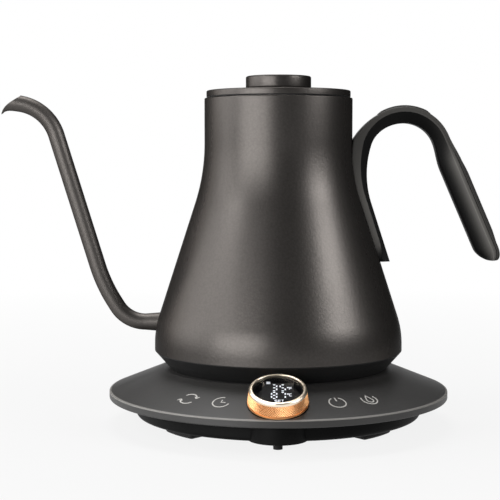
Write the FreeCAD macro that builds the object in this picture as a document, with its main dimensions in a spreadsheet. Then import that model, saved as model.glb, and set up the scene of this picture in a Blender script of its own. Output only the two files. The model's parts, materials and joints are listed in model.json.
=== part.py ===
import FreeCAD, Part
import math
import os
import re
import Sketcher
from FreeCAD import Placement, Rotation, Vector

# Electric gooseneck kettle on its power base. Millimetres, +Z up, origin on the worktop under the kettle.
# The spout points to -X, the handle to +X, and the dial and its display face -Y.

doc = FreeCAD.newDocument("kettle")
sheet = doc.addObject("Spreadsheet::Sheet", "Sizes")

SIZES = {
    # kettle shell
    "neck_r": 44.0,
    "foot_r": 74.0,
    "body_tall": 149.7,
    "knee_drop": 44.7,
    "hip_up": 12.2,
    "knee_blend": 18.4,
    "hip_blend": 8.7,
    "shell_wall": 1.0,
    "lip_wide": 4.5,
    "lip_thick": 1.2,
    "rim_round": 0.8,
    # black bottom cup under the shell
    "skirt_in": 9.2,
    "skirt_tall": 10.6,
    "cup_wall": 2.0,
    "cup_recess": 2.0,
    "seat_wide": 3.0,
    "spigot_tall": 3.2,
    "gasket_thick": 0.6,
    "stud_in": 17.0,
    "screw_r": 1.5,
    "screw_head_r": 2.9,
    "screw_head_tall": 1.5,
    "stud_r": 3.3,
    # heater under the boiler floor
    "floor_thick": 1.0,
    "floor_flange": 1.8,
    "plate_in": 24.0,
    "plate_thick": 3.0,
    "heater_in": 6.0,
    "heater_half": 3.2,
    "heater_round": 2.5,
    "heater_tall": 6.0,
    "heater_sweep": 300.0,
    "pin_r": 1.6,
    "cutout_r": 5.5,
    "cutout_tall": 4.2,
    "cutout_gap": 0.8,
    "cutout_turn": 75.0,
    "probe_r": 2.4,
    "probe_reach": 8.0,
    "probe_seal_r": 4.6,
    "probe_in": 9.0,
    "probe_turn": 210.0,
    # connector between kettle and base
    "post_r": 11.6,
    "post_tall": 10.4,
    "contact_thick": 0.4,
    "contact_tall": 2.0,
    "ring_down": 1.6,
    "ring_space": 1.6,
    "connector_r": 27.0,
    "connector_flange": 2.5,
    "connector_roof": 0.9,
    "contact_pin_r": 2.4,
    "pin_bore_up": 1.0,
    "pin_clear": 1.6,
    "socket_r": 26.5,
    "socket_flange": 4.5,
    "socket_drop": 0.6,
    "socket_deep": 12.0,
    # spout
    "spout_r": 4.9,
    "spout_wall": 0.8,
    "spout_up": 10.2,
    "spout_run": 17.0,
    "spout_elbow_out": 14.1,
    "spout_elbow_up": 22.6,
    "spout_rise_out": 32.7,
    "spout_rise_up": 105.9,
    "spout_tip_out": 30.0,
    "spout_tip_up": 4.2,
    "elbow_round": 20.0,
    "shoulder_round": 91.0,
    "crook_round": 27.0,
    "beak_cut_back": 14.0,
    "beak_cut_drop": 9.3,
    # handle
    "arch_out": 30.3,
    "arch_drop": 33.5,
    "arch_r": 23.4,
    "strap_drop": 96.7,
    "strap_bend": 60.0,
    "strap_mid": 2.6,
    "strap_thick": 5.2,
    "arch_thick": 9.6,
    "grip_thick": 14.0,
    "handle_wide": 19.0,
    "strap_flat": 14.0,
    "grip_flat": 9.5,
    "strap_crease": 0.3,
    "arch_crease": 1.8,
    "grip_crease": 2.1,
    "lead_turn": 28.0,
    "grip_long": 79.0,
    "grip_lean": 23.4,
    "grip_swell": 15.8,
    "grip_nose": 7.9,
    "nose_turn": 63.0,
    "pad_thick": 0.9,
    "pad_wide": 15.0,
    "rest_turn": 32.0,
    "strip_down": 16.6,
    "strip_end": 8.7,
    "handle_boss_r": 3.5,
    "handle_boss_tall": 2.4,
    "handle_screw_low": 9.0,
    "handle_screw_pitch": 17.0,
    # lid
    "lid_inset": 1.2,
    "lid_tall": 4.3,
    "lid_sheet": 1.2,
    "lid_round": 0.6,
    "lid_rise": 0.5,
    "plug_deep": 15.0,
    "plug_wall": 1.4,
    "knob_r": 19.4,
    "knob_tall": 7.8,
    "knob_round": 1.0,
    "knob_under_round": 0.6,
    "knob_bore": 5.4,
    "spacer_thick": 0.8,
    "spacer_in": 2.0,
    "seal_tall": 1.6,
    "lid_boss_r": 5.0,
    # power base
    "feet_tall": 5.4,
    "foot_in": 11.2,
    "foot_wide": 12.0,
    "foot_turn": 51.5,
    "foot_sweep": 10.5,
    "foot_round": 3.0,
    "front_foot_r": 2.6,
    "tray_tall": 10.9,
    "tray_wall": 2.2,
    "overhang": 16.0,
    "flange_thick": 1.4,
    "band_tall": 4.0,
    "band_wall": 2.2,
    "apron_slope": 22.0,
    "cover_wall": 2.4,
    "seat_margin": 4.0,
    "dial_edge": 0.6,
    "dial_top_edge": 0.3,
    "edge_round": 0.5,
    "bulge_r": 16.3,
    "bulge_back": 7.6,
    "post_in": 21.0,
    "cover_post_r": 3.6,
    "cover_bore": 14.0,
    "tray_screw_reach": 12.0,
    "standoff_r": 2.5,
    "standoff_tall": 4.0,
    "board_thick": 1.6,
    "board_gap": 2.4,
    "board_hole_in": 3.0,
    "power_half": 38.0,
    "power_deep": 24.0,
    "control_half": 28.0,
    "control_deep": 22.0,
    # parts on the boards
    "part_gap": 4.0,
    "relay_long": 20.0,
    "relay_deep": 16.0,
    "relay_tall": 14.0,
    "transformer_long": 20.0,
    "transformer_deep": 18.0,
    "transformer_tall": 13.0,
    "terminal_long": 8.0,
    "terminal_deep": 16.0,
    "terminal_tall": 11.0,
    "can_r": 4.0,
    "can_tall": 12.0,
    "can_pitch": 10.0,
    "buzzer_r": 6.0,
    "buzzer_tall": 7.0,
    # cord gland
    "gland_neck_r": 3.75,
    "gland_flange_r": 4.2,
    "gland_bore_r": 2.9,
    "gland_lip": 1.8,
    # touch keys
    "key_near": 20.6,
    "key_far": 34.2,
    "touch_board_from": 14.5,
    "touch_board_to": 41.0,
    "touch_board_half": 6.5,
    "touch_spring_r": 3.0,
    # dial
    "dial_foot_r": 16.7,
    "dial_top_r": 15.4,
    "dial_tall": 9.2,
    "dial_lip": 1.7,
    "dial_lip_thick": 2.0,
    "dial_wall": 0.8,
    "magnet_thick": 1.1,
    "magnet_tall": 2.0,
    "dial_bevel": 0.5,
    "window_drop": 0.5,
    "well_deep": 1.4,
    "dial_press": 0.8,
    "stem_r": 4.5,
    "stem_bore_r": 2.0,
    "core_wall": 1.2,
    "display_thick": 1.2,
    "light_half": 8.5,
    "clip_thick": 0.9,
    "clip_wide": 2.0,
    "housing_r": 9.5,
    "housing_wall": 1.4,
    "housing_tall": 10.2,
    "switch_r": 3.6,
    "switch_tall": 2.2,
    "plunger_r": 1.7,
    "plunger_cap": 0.8,
    "dial_depth": 14.0,
    # clearances
    "fit_gap": 0.2,
    "run_gap": 0.3,
    "slip_gap": 0.1,
}

for row, (alias, number) in enumerate(SIZES.items(), start=1):
    sheet.set(f"A{row}", alias)
    sheet.set(f"B{row}", str(number))
    sheet.setAlias(f"B{row}", alias)
doc.recompute()

# Heights and radii that follow from the sizes above, written as sheet formulas.
TRAY_Z = "feet_tall"
BAND_Z = "(feet_tall + tray_tall)"
RIM_Z = f"({BAND_Z} + band_tall)"
WELL_R = "(dial_foot_r + run_gap)"
APRON = f"(2 * {WELL_R} * cos(apron_slope) + dial_edge + dial_top_edge)"
SEAT_Z = f"({RIM_Z} + {APRON} * tan(apron_slope))"
SEAT_R = "(foot_r - skirt_in)"
TOP_R = f"({SEAT_R} + seat_margin)"
RIM_R = f"({TOP_R} + {APRON})"
TRAY_R = f"({RIM_R} - overhang)"
HEM_Z = f"({SEAT_Z} + skirt_tall)"
HIP_Z = f"({HEM_Z} + hip_up)"
MOUTH_Z = f"({HEM_Z} + body_tall)"
KNEE_Z = f"({MOUTH_Z} - knee_drop)"
FLARE = f"atan((foot_r - neck_r) / ({KNEE_Z} - {HIP_Z}))"
MOUTH_R = "(neck_r - lip_wide)"
LID_R = "(neck_r - lid_inset)"
LID_Z = f"({MOUTH_Z} + lid_tall)"
CUP_Z = f"({SEAT_Z} + cup_recess)"
STUD_RING = "(foot_r - stud_in)"
PLATE_R = "(foot_r - plate_in)"
HEATER_R = f"({PLATE_R} - heater_in)"
CUP_TOP_Z = f"({CUP_Z} + cup_wall)"
CONNECTOR_Z = f"({SEAT_Z} + 4 * run_gap)"
CAVITY_R = "(post_r + 2 * contact_thick + run_gap + slip_gap)"
CAVITY_Z = f"({SEAT_Z} + post_tall + 2 * run_gap)"
CONNECTOR_TOP_Z = f"({CAVITY_Z} + connector_roof)"
SPIGOT_Z = f"({HEM_Z} + spigot_tall - gasket_thick)"
PLATE_Z = f"max({CONNECTOR_TOP_Z} + run_gap; {SPIGOT_Z} + fit_gap + floor_flange - plate_thick)"
FLOOR_Z = f"({PLATE_Z} + plate_thick + floor_thick)"
SPOUT_Z = f"({FLOOR_Z} + spout_up)"
DIAL_R = f"({RIM_R} - dial_edge - {WELL_R} * cos(apron_slope))"
DIAL_Z = f"({RIM_Z} + ({RIM_R} - {DIAL_R}) * tan(apron_slope))"
KEY_R = f"({RIM_R} - {APRON} / 2)"
BULGE_Y = f"({DIAL_R} - bulge_back)"
COVER_UNDER_Z = f"({SEAT_Z} - cover_wall)"
TRAY_FLOOR_Z = "(feet_tall + tray_wall)"
BOARD_Z = f"({TRAY_FLOOR_Z} + standoff_tall)"
POST_RING = f"({TRAY_R} - tray_wall - post_in)"
BOARD_FAR = f"({POST_RING} - cover_post_r - board_gap)"
FLANGE_TOP_Z = f"({BAND_Z} + flange_thick)"

WORD = re.compile(r"[a-z][a-z_]*")


def formula(text):
    """The same formula with every size named through the sheet."""
    return WORD.sub(lambda word: f"Sizes.{word[0]}" if word[0] in SIZES else word[0], str(text))


def size(text):
    """The present value of a formula."""
    return float(sheet.evalExpression(formula(text)))


def bind(thing, attribute, text):
    """Ties one property to a formula."""
    thing.setExpression(attribute, formula(text))


NODES = {}


def new_body(label):
    """An empty sub-part that may hold several loose solids."""
    body = doc.addObject("PartDesign::Body", label)
    body.Label = label
    body.AllowCompound = True
    NODES[label] = body
    return body


def origin_part(body, role):
    """One of the body's own origin planes or axes."""
    return next(item for item in body.Origin.OriginFeatures if item.Role == role)


def new_sketch(body, role, rise="0"):
    """A sketch on one of the body's own planes, lifted along that plane's normal."""
    sketch = body.newObject("Sketcher::SketchObject", f"{body.Name}_sketch")
    sketch.AttachmentSupport = [(origin_part(body, role), "")]
    sketch.MapMode = "FlatFace"
    if rise != "0":
        sketch.AttachmentOffset = Placement(Vector(0, 0, size(rise)), Rotation())
        bind(sketch, "AttachmentOffset.Base.z", rise)
    return sketch


def pin_point(sketch, element, end, across, up):
    """Holds one point of a sketch at two formulas measured from the sketch origin."""
    for kind, text, axis in (("DistanceX", across, -2), ("DistanceY", up, -1)):
        if text == "0":
            sketch.addConstraint(Sketcher.Constraint("PointOnObject", element, end, axis))
        else:
            index = sketch.addConstraint(Sketcher.Constraint(kind, -1, 1, element, end, size(text)))
            bind(sketch, f"Constraints[{index}]", text)


def draw_circle(sketch, across, up, radius):
    """A circle held by its centre and radius."""
    centre = Vector(size(across), size(up), 0)
    circle = sketch.addGeometry(Part.Circle(centre, Vector(0, 0, 1), size(radius)))
    pin_point(sketch, circle, 3, across, up)
    index = sketch.addConstraint(Sketcher.Constraint("Radius", circle, size(radius)))
    bind(sketch, f"Constraints[{index}]", radius)


def draw_outline(sketch, corners, closed=True):
    """Straight edges between corners (across, up) or (across, up, round), with tangent arcs at round ones."""
    spots = [Vector(size(corner[0]), size(corner[1]), 0) for corner in corners]
    count = len(spots)
    enter = list(spots)
    leave = list(spots)
    arcs = {}
    for i, corner in enumerate(corners):
        if len(corner) < 3:
            continue
        back = (spots[i - 1] - spots[i]).normalize()
        ahead = (spots[(i + 1) % count] - spots[i]).normalize()
        half_angle = back.getAngle(ahead) / 2
        radius = size(corner[2])
        reach = radius / math.tan(half_angle)
        enter[i] = spots[i] + back * reach
        leave[i] = spots[i] + ahead * reach
        middle = spots[i] + (back + ahead).normalize() * (radius / math.sin(half_angle))
        turn_left = back.cross(ahead).z < 0
        first, last = (enter[i], leave[i]) if turn_left else (leave[i], enter[i])
        start_angle = math.atan2(first.y - middle.y, first.x - middle.x)
        end_angle = math.atan2(last.y - middle.y, last.x - middle.x)
        circle = Part.Circle(middle, Vector(0, 0, 1), radius)
        arcs[i] = (Part.ArcOfCircle(circle, start_angle, end_angle), turn_left)
    edges = count if closed else count - 1
    lines = []
    for i in range(edges):
        lines.append(sketch.addGeometry(Part.LineSegment(leave[i], enter[(i + 1) % count])))
    for i, corner in enumerate(corners):
        before = lines[i - 1] if closed or i > 0 else None
        after = lines[i] if i < edges else None
        if i not in arcs:
            if before is not None and after is not None:
                sketch.addConstraint(Sketcher.Constraint("Coincident", before, 2, after, 1))
            element, end = (after, 1) if after is not None else (before, 2)
            pin_point(sketch, element, end, corner[0], corner[1])
            continue
        curve, turn_left = arcs[i]
        arc = sketch.addGeometry(curve)
        sharp = sketch.addGeometry(Part.Point(spots[i]), True)
        pin_point(sketch, sharp, 1, corner[0], corner[1])
        sketch.addConstraint(Sketcher.Constraint("PointOnObject", sharp, 1, before))
        sketch.addConstraint(Sketcher.Constraint("PointOnObject", sharp, 1, after))
        first, last = (1, 2) if turn_left else (2, 1)
        sketch.addConstraint(Sketcher.Constraint("Tangent", before, 2, arc, first))
        sketch.addConstraint(Sketcher.Constraint("Tangent", arc, last, after, 1))
        index = sketch.addConstraint(Sketcher.Constraint("Radius", arc, size(corner[2])))
        bind(sketch, f"Constraints[{index}]", corner[2])


def turned(label, corners, sweep="360"):
    """A sub-part turned about its own Z axis from an outline of radius and height."""
    body = new_body(label)
    sketch = new_sketch(body, "XZ_Plane")
    draw_outline(sketch, corners)
    spin = body.newObject("PartDesign::Revolution", f"{label}_turn")
    spin.Profile = sketch
    spin.ReferenceAxis = (sketch, ["V_Axis"])
    spin.Angle = size(sweep)
    if sweep != "360":
        bind(spin, "Angle", sweep)
    doc.recompute()
    return body


def draw_shapes(sketch, shapes):
    """Circles (across, up, radius) and polygons (list of corners) in one sketch."""
    for shape in shapes:
        if isinstance(shape, list):
            draw_outline(sketch, shape)
        else:
            draw_circle(sketch, *shape)


def grow(body, shapes, low, high):
    """Adds upright prisms between two heights."""
    sketch = new_sketch(body, "XY_Plane", low)
    draw_shapes(sketch, shapes)
    pad = body.newObject("PartDesign::Pad", f"{body.Name}_pad")
    pad.Profile = sketch
    bind(pad, "Length", f"{high} - ({low})")
    doc.recompute()
    return pad


def sink(body, shapes, low, high):
    """Cuts upright prisms between two heights, and makes sure that something was cut."""
    before = body.Shape.Volume
    sketch = new_sketch(body, "XY_Plane", high)
    draw_shapes(sketch, shapes)
    pocket = body.newObject("PartDesign::Pocket", f"{body.Name}_cut")
    pocket.Profile = sketch
    bind(pocket, "Length", f"{high} - ({low})")
    doc.recompute()
    if body.Shape.Volume > before - 1e-3:
        raise RuntimeError(f"{body.Label}: a cut removed nothing")
    return pocket


def sideways_hole(body, role, rise, across, up, radius, length):
    """Cuts a level hole into the body, from a plane towards the side opposite its normal."""
    before = body.Shape.Volume
    sketch = new_sketch(body, role, rise)
    draw_circle(sketch, across, up, radius)
    pocket = body.newObject("PartDesign::Pocket", f"{body.Name}_hole")
    pocket.Profile = sketch
    bind(pocket, "Length", length)
    doc.recompute()
    if body.Shape.Volume > before - 1e-3:
        raise RuntimeError(f"{body.Label}: a level hole removed nothing")


def repeat(body, features, count):
    """Repeats features evenly about the Z axis."""
    pattern = body.newObject("PartDesign::PolarPattern", f"{body.Name}_ring")
    pattern.Originals = features
    pattern.Axis = (origin_part(body, "Z_Axis"), [""])
    pattern.Angle = 360
    pattern.Occurrences = count
    body.Tip = pattern
    doc.recompute()


def box_outline(left, right, front, back):
    """The four corners of a level rectangle."""
    return [(left, front), (right, front), (right, back), (left, back)]


def about(radius, angle):
    """A spot on a circle round the Z axis."""
    return f"({radius}) * cos({angle})", f"({radius}) * sin({angle})"


def keep(label, thing):
    """Names a finished object as a sub-part."""
    thing.Label = label
    NODES[label] = thing
    return thing


# Kettle shell: spun steel bell with a turned-in mouth and a hole for the spout.
KNEE_ROUND = f"knee_blend / tan({FLARE} / 2)"
HIP_ROUND = f"hip_blend / tan({FLARE} / 2)"
WALL_SHIFT = f"shell_wall * tan({FLARE} / 2)"
OUTER_WALL = [
    ("foot_r", HEM_Z),
    ("foot_r", HIP_Z, HIP_ROUND),
    ("neck_r", KNEE_Z, KNEE_ROUND),
]
shell = turned("kettle_shell", OUTER_WALL + [
    ("neck_r", MOUTH_Z, "rim_round"),
    (MOUTH_R, MOUTH_Z),
    (MOUTH_R, f"{MOUTH_Z} - lip_thick"),
    ("neck_r - shell_wall", f"{MOUTH_Z} - lip_thick"),
    ("neck_r - shell_wall", f"{KNEE_Z} - {WALL_SHIFT}", f"{KNEE_ROUND} + shell_wall"),
    ("foot_r - shell_wall", f"{HIP_Z} - {WALL_SHIFT}", f"{HIP_ROUND} - shell_wall"),
    ("foot_r - shell_wall", HEM_Z),
])
sideways_hole(shell, "YZ_Plane", "0", "0", SPOUT_Z, "spout_r", "foot_r + spout_run")

# The space that the shell takes up, used to fit the handle strap and its bosses to the wall.
envelope = turned("envelope", OUTER_WALL + [("neck_r", MOUTH_Z), ("0", MOUTH_Z), ("0", HEM_Z)])
del NODES["envelope"]

# Boiler floor, heat plate and heater.
PROBE = about(f"{HEATER_R} - probe_in", "probe_turn")
floor = turned("boiler_floor", [
    ("0", FLOOR_Z),
    ("foot_r - shell_wall - run_gap", FLOOR_Z, "floor_thick"),
    ("foot_r - shell_wall - run_gap", f"{FLOOR_Z} - floor_thick - floor_flange"),
    ("foot_r - shell_wall - run_gap - floor_thick", f"{FLOOR_Z} - floor_thick - floor_flange"),
    ("foot_r - shell_wall - run_gap - floor_thick", f"{FLOOR_Z} - floor_thick"),
    ("0", f"{FLOOR_Z} - floor_thick"),
])
sink(floor, [(*PROBE, "probe_seal_r")], f"{FLOOR_Z} - floor_thick - fit_gap", f"{FLOOR_Z} + fit_gap")
plate = new_body("heat_plate")
grow(plate, [("0", "0", PLATE_R)], PLATE_Z, f"{PLATE_Z} + plate_thick")
sink(plate, [(*PROBE, "probe_seal_r")], f"{PLATE_Z} - fit_gap", f"{PLATE_Z} + plate_thick + fit_gap")
heater = turned("heater_ring", [
    (f"{HEATER_R} - heater_half", PLATE_Z),
    (f"{HEATER_R} - heater_half", f"{PLATE_Z} - heater_tall", "heater_round"),
    (f"{HEATER_R} + heater_half", f"{PLATE_Z} - heater_tall", "heater_round"),
    (f"{HEATER_R} + heater_half", PLATE_Z),
], "heater_sweep")
PIN_TURN = f"(atan(3 * pin_r / {HEATER_R}) / 1 deg)"
pins = new_body("heater_pins")
grow(
    pins,
    [(*about(HEATER_R, f"-({PIN_TURN})"), "pin_r"),
     (*about(HEATER_R, f"heater_sweep + {PIN_TURN}"), "pin_r")],
    f"{PLATE_Z} - heater_tall",
    PLATE_Z,
)
cutouts = new_body("thermal_cutouts")
cutout = grow(
    cutouts,
    [(*about(f"{HEATER_R} - heater_half - cutout_gap - cutout_r", "cutout_turn"), "cutout_r")],
    f"{PLATE_Z} - cutout_tall",
    PLATE_Z,
)
repeat(cutouts, [cutout], 2)
probe = new_body("ntc_probe")
grow(probe, [(*PROBE, "probe_r")], f"{PLATE_Z} - probe_r", f"{FLOOR_Z} + probe_reach")
seal = new_body("probe_seal")
grow(seal, [(*PROBE, "probe_seal_r")], PLATE_Z, f"{FLOOR_Z} + floor_thick")
sink(seal, [(*PROBE, "probe_r")], f"{PLATE_Z} - fit_gap", f"{FLOOR_Z} + floor_thick + fit_gap")

# Black bottom cup with its gasket, studs and screws.
SKIRT_LEAN = "(skirt_in / skirt_tall)"
SPIGOT_R = "(foot_r - shell_wall - fit_gap)"
cup = turned("bottom_cup", [
    (SEAT_R, SEAT_Z),
    (f"foot_r - {SKIRT_LEAN} * gasket_thick", f"{HEM_Z} - gasket_thick"),
    (SPIGOT_R, f"{HEM_Z} - gasket_thick"),
    (SPIGOT_R, SPIGOT_Z),
    (f"{SPIGOT_R} - cup_wall", SPIGOT_Z),
    (f"{SPIGOT_R} - cup_wall", f"{HEM_Z} - cup_wall"),
    (f"{SEAT_R} - cup_wall + {SKIRT_LEAN} * (cup_recess + cup_wall)", CUP_TOP_Z),
    ("connector_r + slip_gap", CUP_TOP_Z),
    ("connector_r + slip_gap", CUP_Z),
    (f"{SEAT_R} - seat_wide", CUP_Z),
    (f"{SEAT_R} - seat_wide", SEAT_Z),
])
for turn in ("0", "120", "240"):
    sink(cup, [(*about(STUD_RING, turn), "screw_r + fit_gap")], CUP_Z, CUP_TOP_Z)
gasket = turned("hem_gasket", [
    (SPIGOT_R, HEM_Z),
    (SPIGOT_R, f"{HEM_Z} - gasket_thick"),
    (f"foot_r - {SKIRT_LEAN} * gasket_thick", f"{HEM_Z} - gasket_thick"),
    (f"foot_r - {SKIRT_LEAN} * gasket_thick", HEM_Z),
])
STUD_TOP_Z = f"({FLOOR_Z} - floor_thick)"
studs = new_body("floor_studs")
stud = grow(studs, [(*about(STUD_RING, "0"), "stud_r")], CUP_TOP_Z, STUD_TOP_Z)
stud_bore = sink(studs, [(*about(STUD_RING, "0"), "screw_r")], CUP_TOP_Z, f"{STUD_TOP_Z} - floor_thick")
repeat(studs, [stud, stud_bore], 3)


def screws(label, ring, start, count, head_low, shank_top):
    """A ring of upright screws with the heads underneath."""
    body = new_body(label)
    spot = about(ring, start)
    head_top = f"{head_low} + screw_head_tall"
    head = grow(body, [(*spot, "screw_head_r")], head_low, head_top)
    shank = grow(body, [(*spot, "screw_r")], head_top, shank_top)
    if count > 1:
        repeat(body, [head, shank], count)
    return body


screws("cup_screws", STUD_RING, "0", 3, f"({CUP_Z} - screw_head_tall)", f"({STUD_TOP_Z} - 2 * floor_thick)")

# Upper half of the connector, with the round contact set that the kettle turns on.
turned("kettle_connector", [
    (CAVITY_R, CONNECTOR_Z),
    ("connector_r", CONNECTOR_Z),
    ("connector_r", CUP_TOP_Z),
    ("connector_r + connector_flange", CUP_TOP_Z),
    ("connector_r + connector_flange", f"{CUP_TOP_Z} + cup_wall"),
    (f"{CAVITY_R} + cup_wall", f"{CUP_TOP_Z} + cup_wall"),
    (f"{CAVITY_R} + cup_wall", CONNECTOR_TOP_Z),
    ("0", CONNECTOR_TOP_Z),
    ("0", CAVITY_Z),
    (CAVITY_R, CAVITY_Z),
])
SLEEVE_OUT = f"({CAVITY_R} - slip_gap)"
SLEEVE_IN = f"({SLEEVE_OUT} - contact_thick)"
RING_HIGH_Z = f"({SEAT_Z} + post_tall - ring_down - contact_tall)"
RING_LOW_Z = f"({RING_HIGH_Z} - ring_space - contact_tall)"
PIN_BORE_Z = f"({SEAT_Z} + pin_bore_up)"
contacts = new_body("connector_contacts")
for low in (RING_LOW_Z, RING_HIGH_Z):
    grow(contacts, [("0", "0", SLEEVE_OUT), ("0", "0", SLEEVE_IN)], low, f"{low} + contact_tall")
grow(contacts, [("0", "0", "contact_pin_r")], f"({PIN_BORE_Z} + pin_clear)", f"{CAVITY_Z} - slip_gap")

# Spout: thin bent tube, drawn towards +X and turned half round so that it points to -X.
WALL_X = f"(foot_r - 2 * shell_wall - ({SPOUT_Z} + spout_r - {HIP_Z}) * tan({FLARE}))"
BEND_X = "(foot_r + spout_run)"
CROOK_X = f"({BEND_X} + spout_elbow_out + spout_rise_out)"
CROOK_Z = f"({SPOUT_Z} + spout_elbow_up + spout_rise_up)"
TIP_X = f"({CROOK_X} + spout_tip_out)"
TIP_Z = f"({CROOK_Z} + spout_tip_up)"
spout_path = [
    (WALL_X, SPOUT_Z),
    (BEND_X, SPOUT_Z, "elbow_round"),
    (f"{BEND_X} + spout_elbow_out", f"{SPOUT_Z} + spout_elbow_up", "shoulder_round"),
    (CROOK_X, CROOK_Z, "crook_round"),
    (TIP_X, TIP_Z),
]
spout = new_body("spout")
spine = new_sketch(spout, "XZ_Plane")
draw_outline(spine, spout_path, closed=False)
ring = new_sketch(spout, "YZ_Plane", WALL_X)
draw_circle(ring, "0", SPOUT_Z, "spout_r")
draw_circle(ring, "0", SPOUT_Z, "spout_r - spout_wall")
tube = spout.newObject("PartDesign::AdditivePipe", "spout_tube")
tube.Profile = ring
tube.Spine = (spine, [])
doc.recompute()
before_beak = spout.Shape.Volume
beak = new_sketch(spout, "XZ_Plane")
BEAK_TOP = f"({TIP_X} - beak_cut_back)"
BEAK_Z = f"({TIP_Z} + spout_r - beak_cut_back * spout_tip_up / spout_tip_out)"
draw_outline(beak, [
    (BEAK_TOP, BEAK_Z),
    (f"{TIP_X} + spout_r", f"{BEAK_Z} - beak_cut_drop * (beak_cut_back + spout_r) / beak_cut_back"),
    (f"{TIP_X} + spout_r", f"{BEAK_Z} + spout_r"),
    (BEAK_TOP, f"{BEAK_Z} + spout_r"),
])
beak_cut = spout.newObject("PartDesign::Pocket", "beak_cut")
beak_cut.Profile = beak
beak_cut.Midplane = True
bind(beak_cut, "Length", "4 * spout_r")
doc.recompute()
if spout.Shape.Volume > before_beak - 1e-3:
    raise RuntimeError("the beak cut removed nothing")
spout.Placement = Placement(Vector(0, 0, 0), Rotation(Vector(0, 0, 1), 180))

# Handle: strap on the shell wall, bend, arch and hanging grip along one centre line.
flare = math.radians(size(FLARE))
wall_up = Vector(-math.sin(flare), 0, math.cos(flare))
wall_out = Vector(math.cos(flare), 0, math.sin(flare))
knee = Vector(size("neck_r"), 0, size(KNEE_Z))
arch_middle = Vector(size("neck_r + arch_out"), 0, size(f"{MOUTH_Z} - arch_drop"))
arch_r = size("arch_r")
bend_r = size("strap_bend")
strap_point = knee + wall_out * size("strap_mid")
reach_to_strap = (arch_middle - strap_point).dot(wall_out)
tilt = math.acos((bend_r - reach_to_strap) / (bend_r - arch_r))
bend_angle = math.pi + flare - tilt
bend_middle = arch_middle + Vector(math.cos(flare - tilt), 0, math.sin(flare - tilt)) * (bend_r - arch_r)
strap_end = bend_middle - wall_out * bend_r
strap_foot_z = size(f"{MOUTH_Z} - strap_drop")
strap_start = strap_end - wall_up * ((strap_end.z - strap_foot_z) / wall_up.z)
lean = math.radians(size("grip_lean"))
grip_down = Vector(math.sin(lean), 0, -math.cos(lean))
grip_start = arch_middle + Vector(math.cos(lean), 0, math.sin(lean)) * arch_r
strap_half = size("strap_thick / 2")
arch_half = size("arch_thick / 2")
grip_half = size("grip_thick / 2")
wide = size("handle_wide / 2")
strap_flat = size("strap_flat / 2")
grip_flat = size("grip_flat / 2")
grip_long = size("grip_long")
pad_thick = size("pad_thick")


def handle_section(spot, along, outer, crease, inner, half_wide, half_inner):
    """A six-sided ring across the handle; the inner side faces the finger gap."""
    inward = Vector(along.z, 0, -along.x)
    ring_of = [(-outer, -half_wide), (crease, -half_wide), (inner, -half_inner)]
    ring_of += [(inner, half_inner), (crease, half_wide), (-outer, half_wide)]
    corners = [spot + inward * depth + Vector(0, side, 0) for depth, side in ring_of]
    return Part.makePolygon(corners + corners[:1])


def on_circle(middle, radius, angle):
    """A spot on an arc of the centre line, and the way that the line runs there."""
    out = Vector(math.cos(angle), 0, math.sin(angle))
    return middle + out * radius, Vector(out.z, 0, -out.x)


def mix(first, second, share):
    """A value between two others."""
    return first + (second - first) * share


strap_crease = size("strap_crease")
arch_crease = -size("arch_crease")
grip_outer = grip_half - pad_thick
strap_reach = strap_half + size("2 * run_gap")
wall_gap = arch_middle.x - arch_r - size("neck_r")
strap_rings = [
    handle_section(strap_start, wall_up, strap_reach, strap_crease, strap_half, wide, strap_flat),
    handle_section(strap_end, wall_up, strap_reach, strap_crease, strap_half, wide, strap_flat),
]
bend_rings = [strap_rings[-1]]
BEND_STEPS = 5
wall_reach = wall_gap + size("2 * run_gap")
for step in range(1, BEND_STEPS + 1):
    share = step / BEND_STEPS
    spot, along = on_circle(bend_middle, bend_r, mix(math.pi + flare, bend_angle, share))
    outer = mix(strap_reach, wall_reach, share)
    crease = mix(strap_crease, arch_crease, share)
    inner = mix(strap_half, arch_half, share)
    flat = mix(strap_flat, grip_flat, share)
    bend_rings.append(handle_section(spot, along, outer, crease, inner, wide, flat))
lead_rings = [bend_rings[-1]]
LEAD_STEPS = 4
lead_angle = bend_angle - math.radians(size("lead_turn"))
for step in range(1, LEAD_STEPS + 1):
    share = step / LEAD_STEPS
    spot, along = on_circle(arch_middle, arch_r, mix(bend_angle, lead_angle, share))
    outer = mix(wall_reach, arch_half, share)
    lead_rings.append(handle_section(spot, along, outer, arch_crease, arch_half, wide, grip_flat))
grip_spot, grip_along = on_circle(arch_middle, arch_r, lean)
grip_rings = [handle_section(grip_spot, grip_along, arch_half, arch_crease, arch_half, wide, grip_flat)]
grip_crease = -size("grip_crease")
nose = size("grip_nose")
nose_turn = math.radians(size("nose_turn"))
NOSE_STEPS = 3
grip_stops = [(size("grip_swell"), 1.0), (grip_long - nose, 1.0)]
for step in range(1, NOSE_STEPS + 1):
    turn = nose_turn * step / NOSE_STEPS
    grip_stops.append((grip_long - nose + nose * math.sin(turn) / math.sin(nose_turn), math.cos(turn)))
for down, depth in grip_stops:
    breadth = (1 + depth) / 2
    grip_rings.append(handle_section(
        grip_start + grip_down * down, grip_down,
        grip_outer * breadth, grip_crease * depth, grip_half * depth,
        wide * breadth, grip_flat * breadth,
    ))
lofts = []
for name, rings in (("strap", strap_rings), ("bend", bend_rings), ("lead", lead_rings), ("grip", grip_rings)):
    piece = doc.addObject("Part::Feature", f"handle_{name}_loft")
    piece.Shape = Part.makeLoft(rings, True, True)
    lofts.append(piece)
arch = doc.addObject("Part::Feature", "handle_arch_turn")
arch.Shape = Part.Face(lead_rings[-1]).revolve(arch_middle, Vector(0, 1, 0), math.degrees(lead_angle - lean))
lofts.append(arch)
handle_whole = doc.addObject("Part::MultiFuse", "handle_whole")
handle_whole.Shapes = lofts


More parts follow.
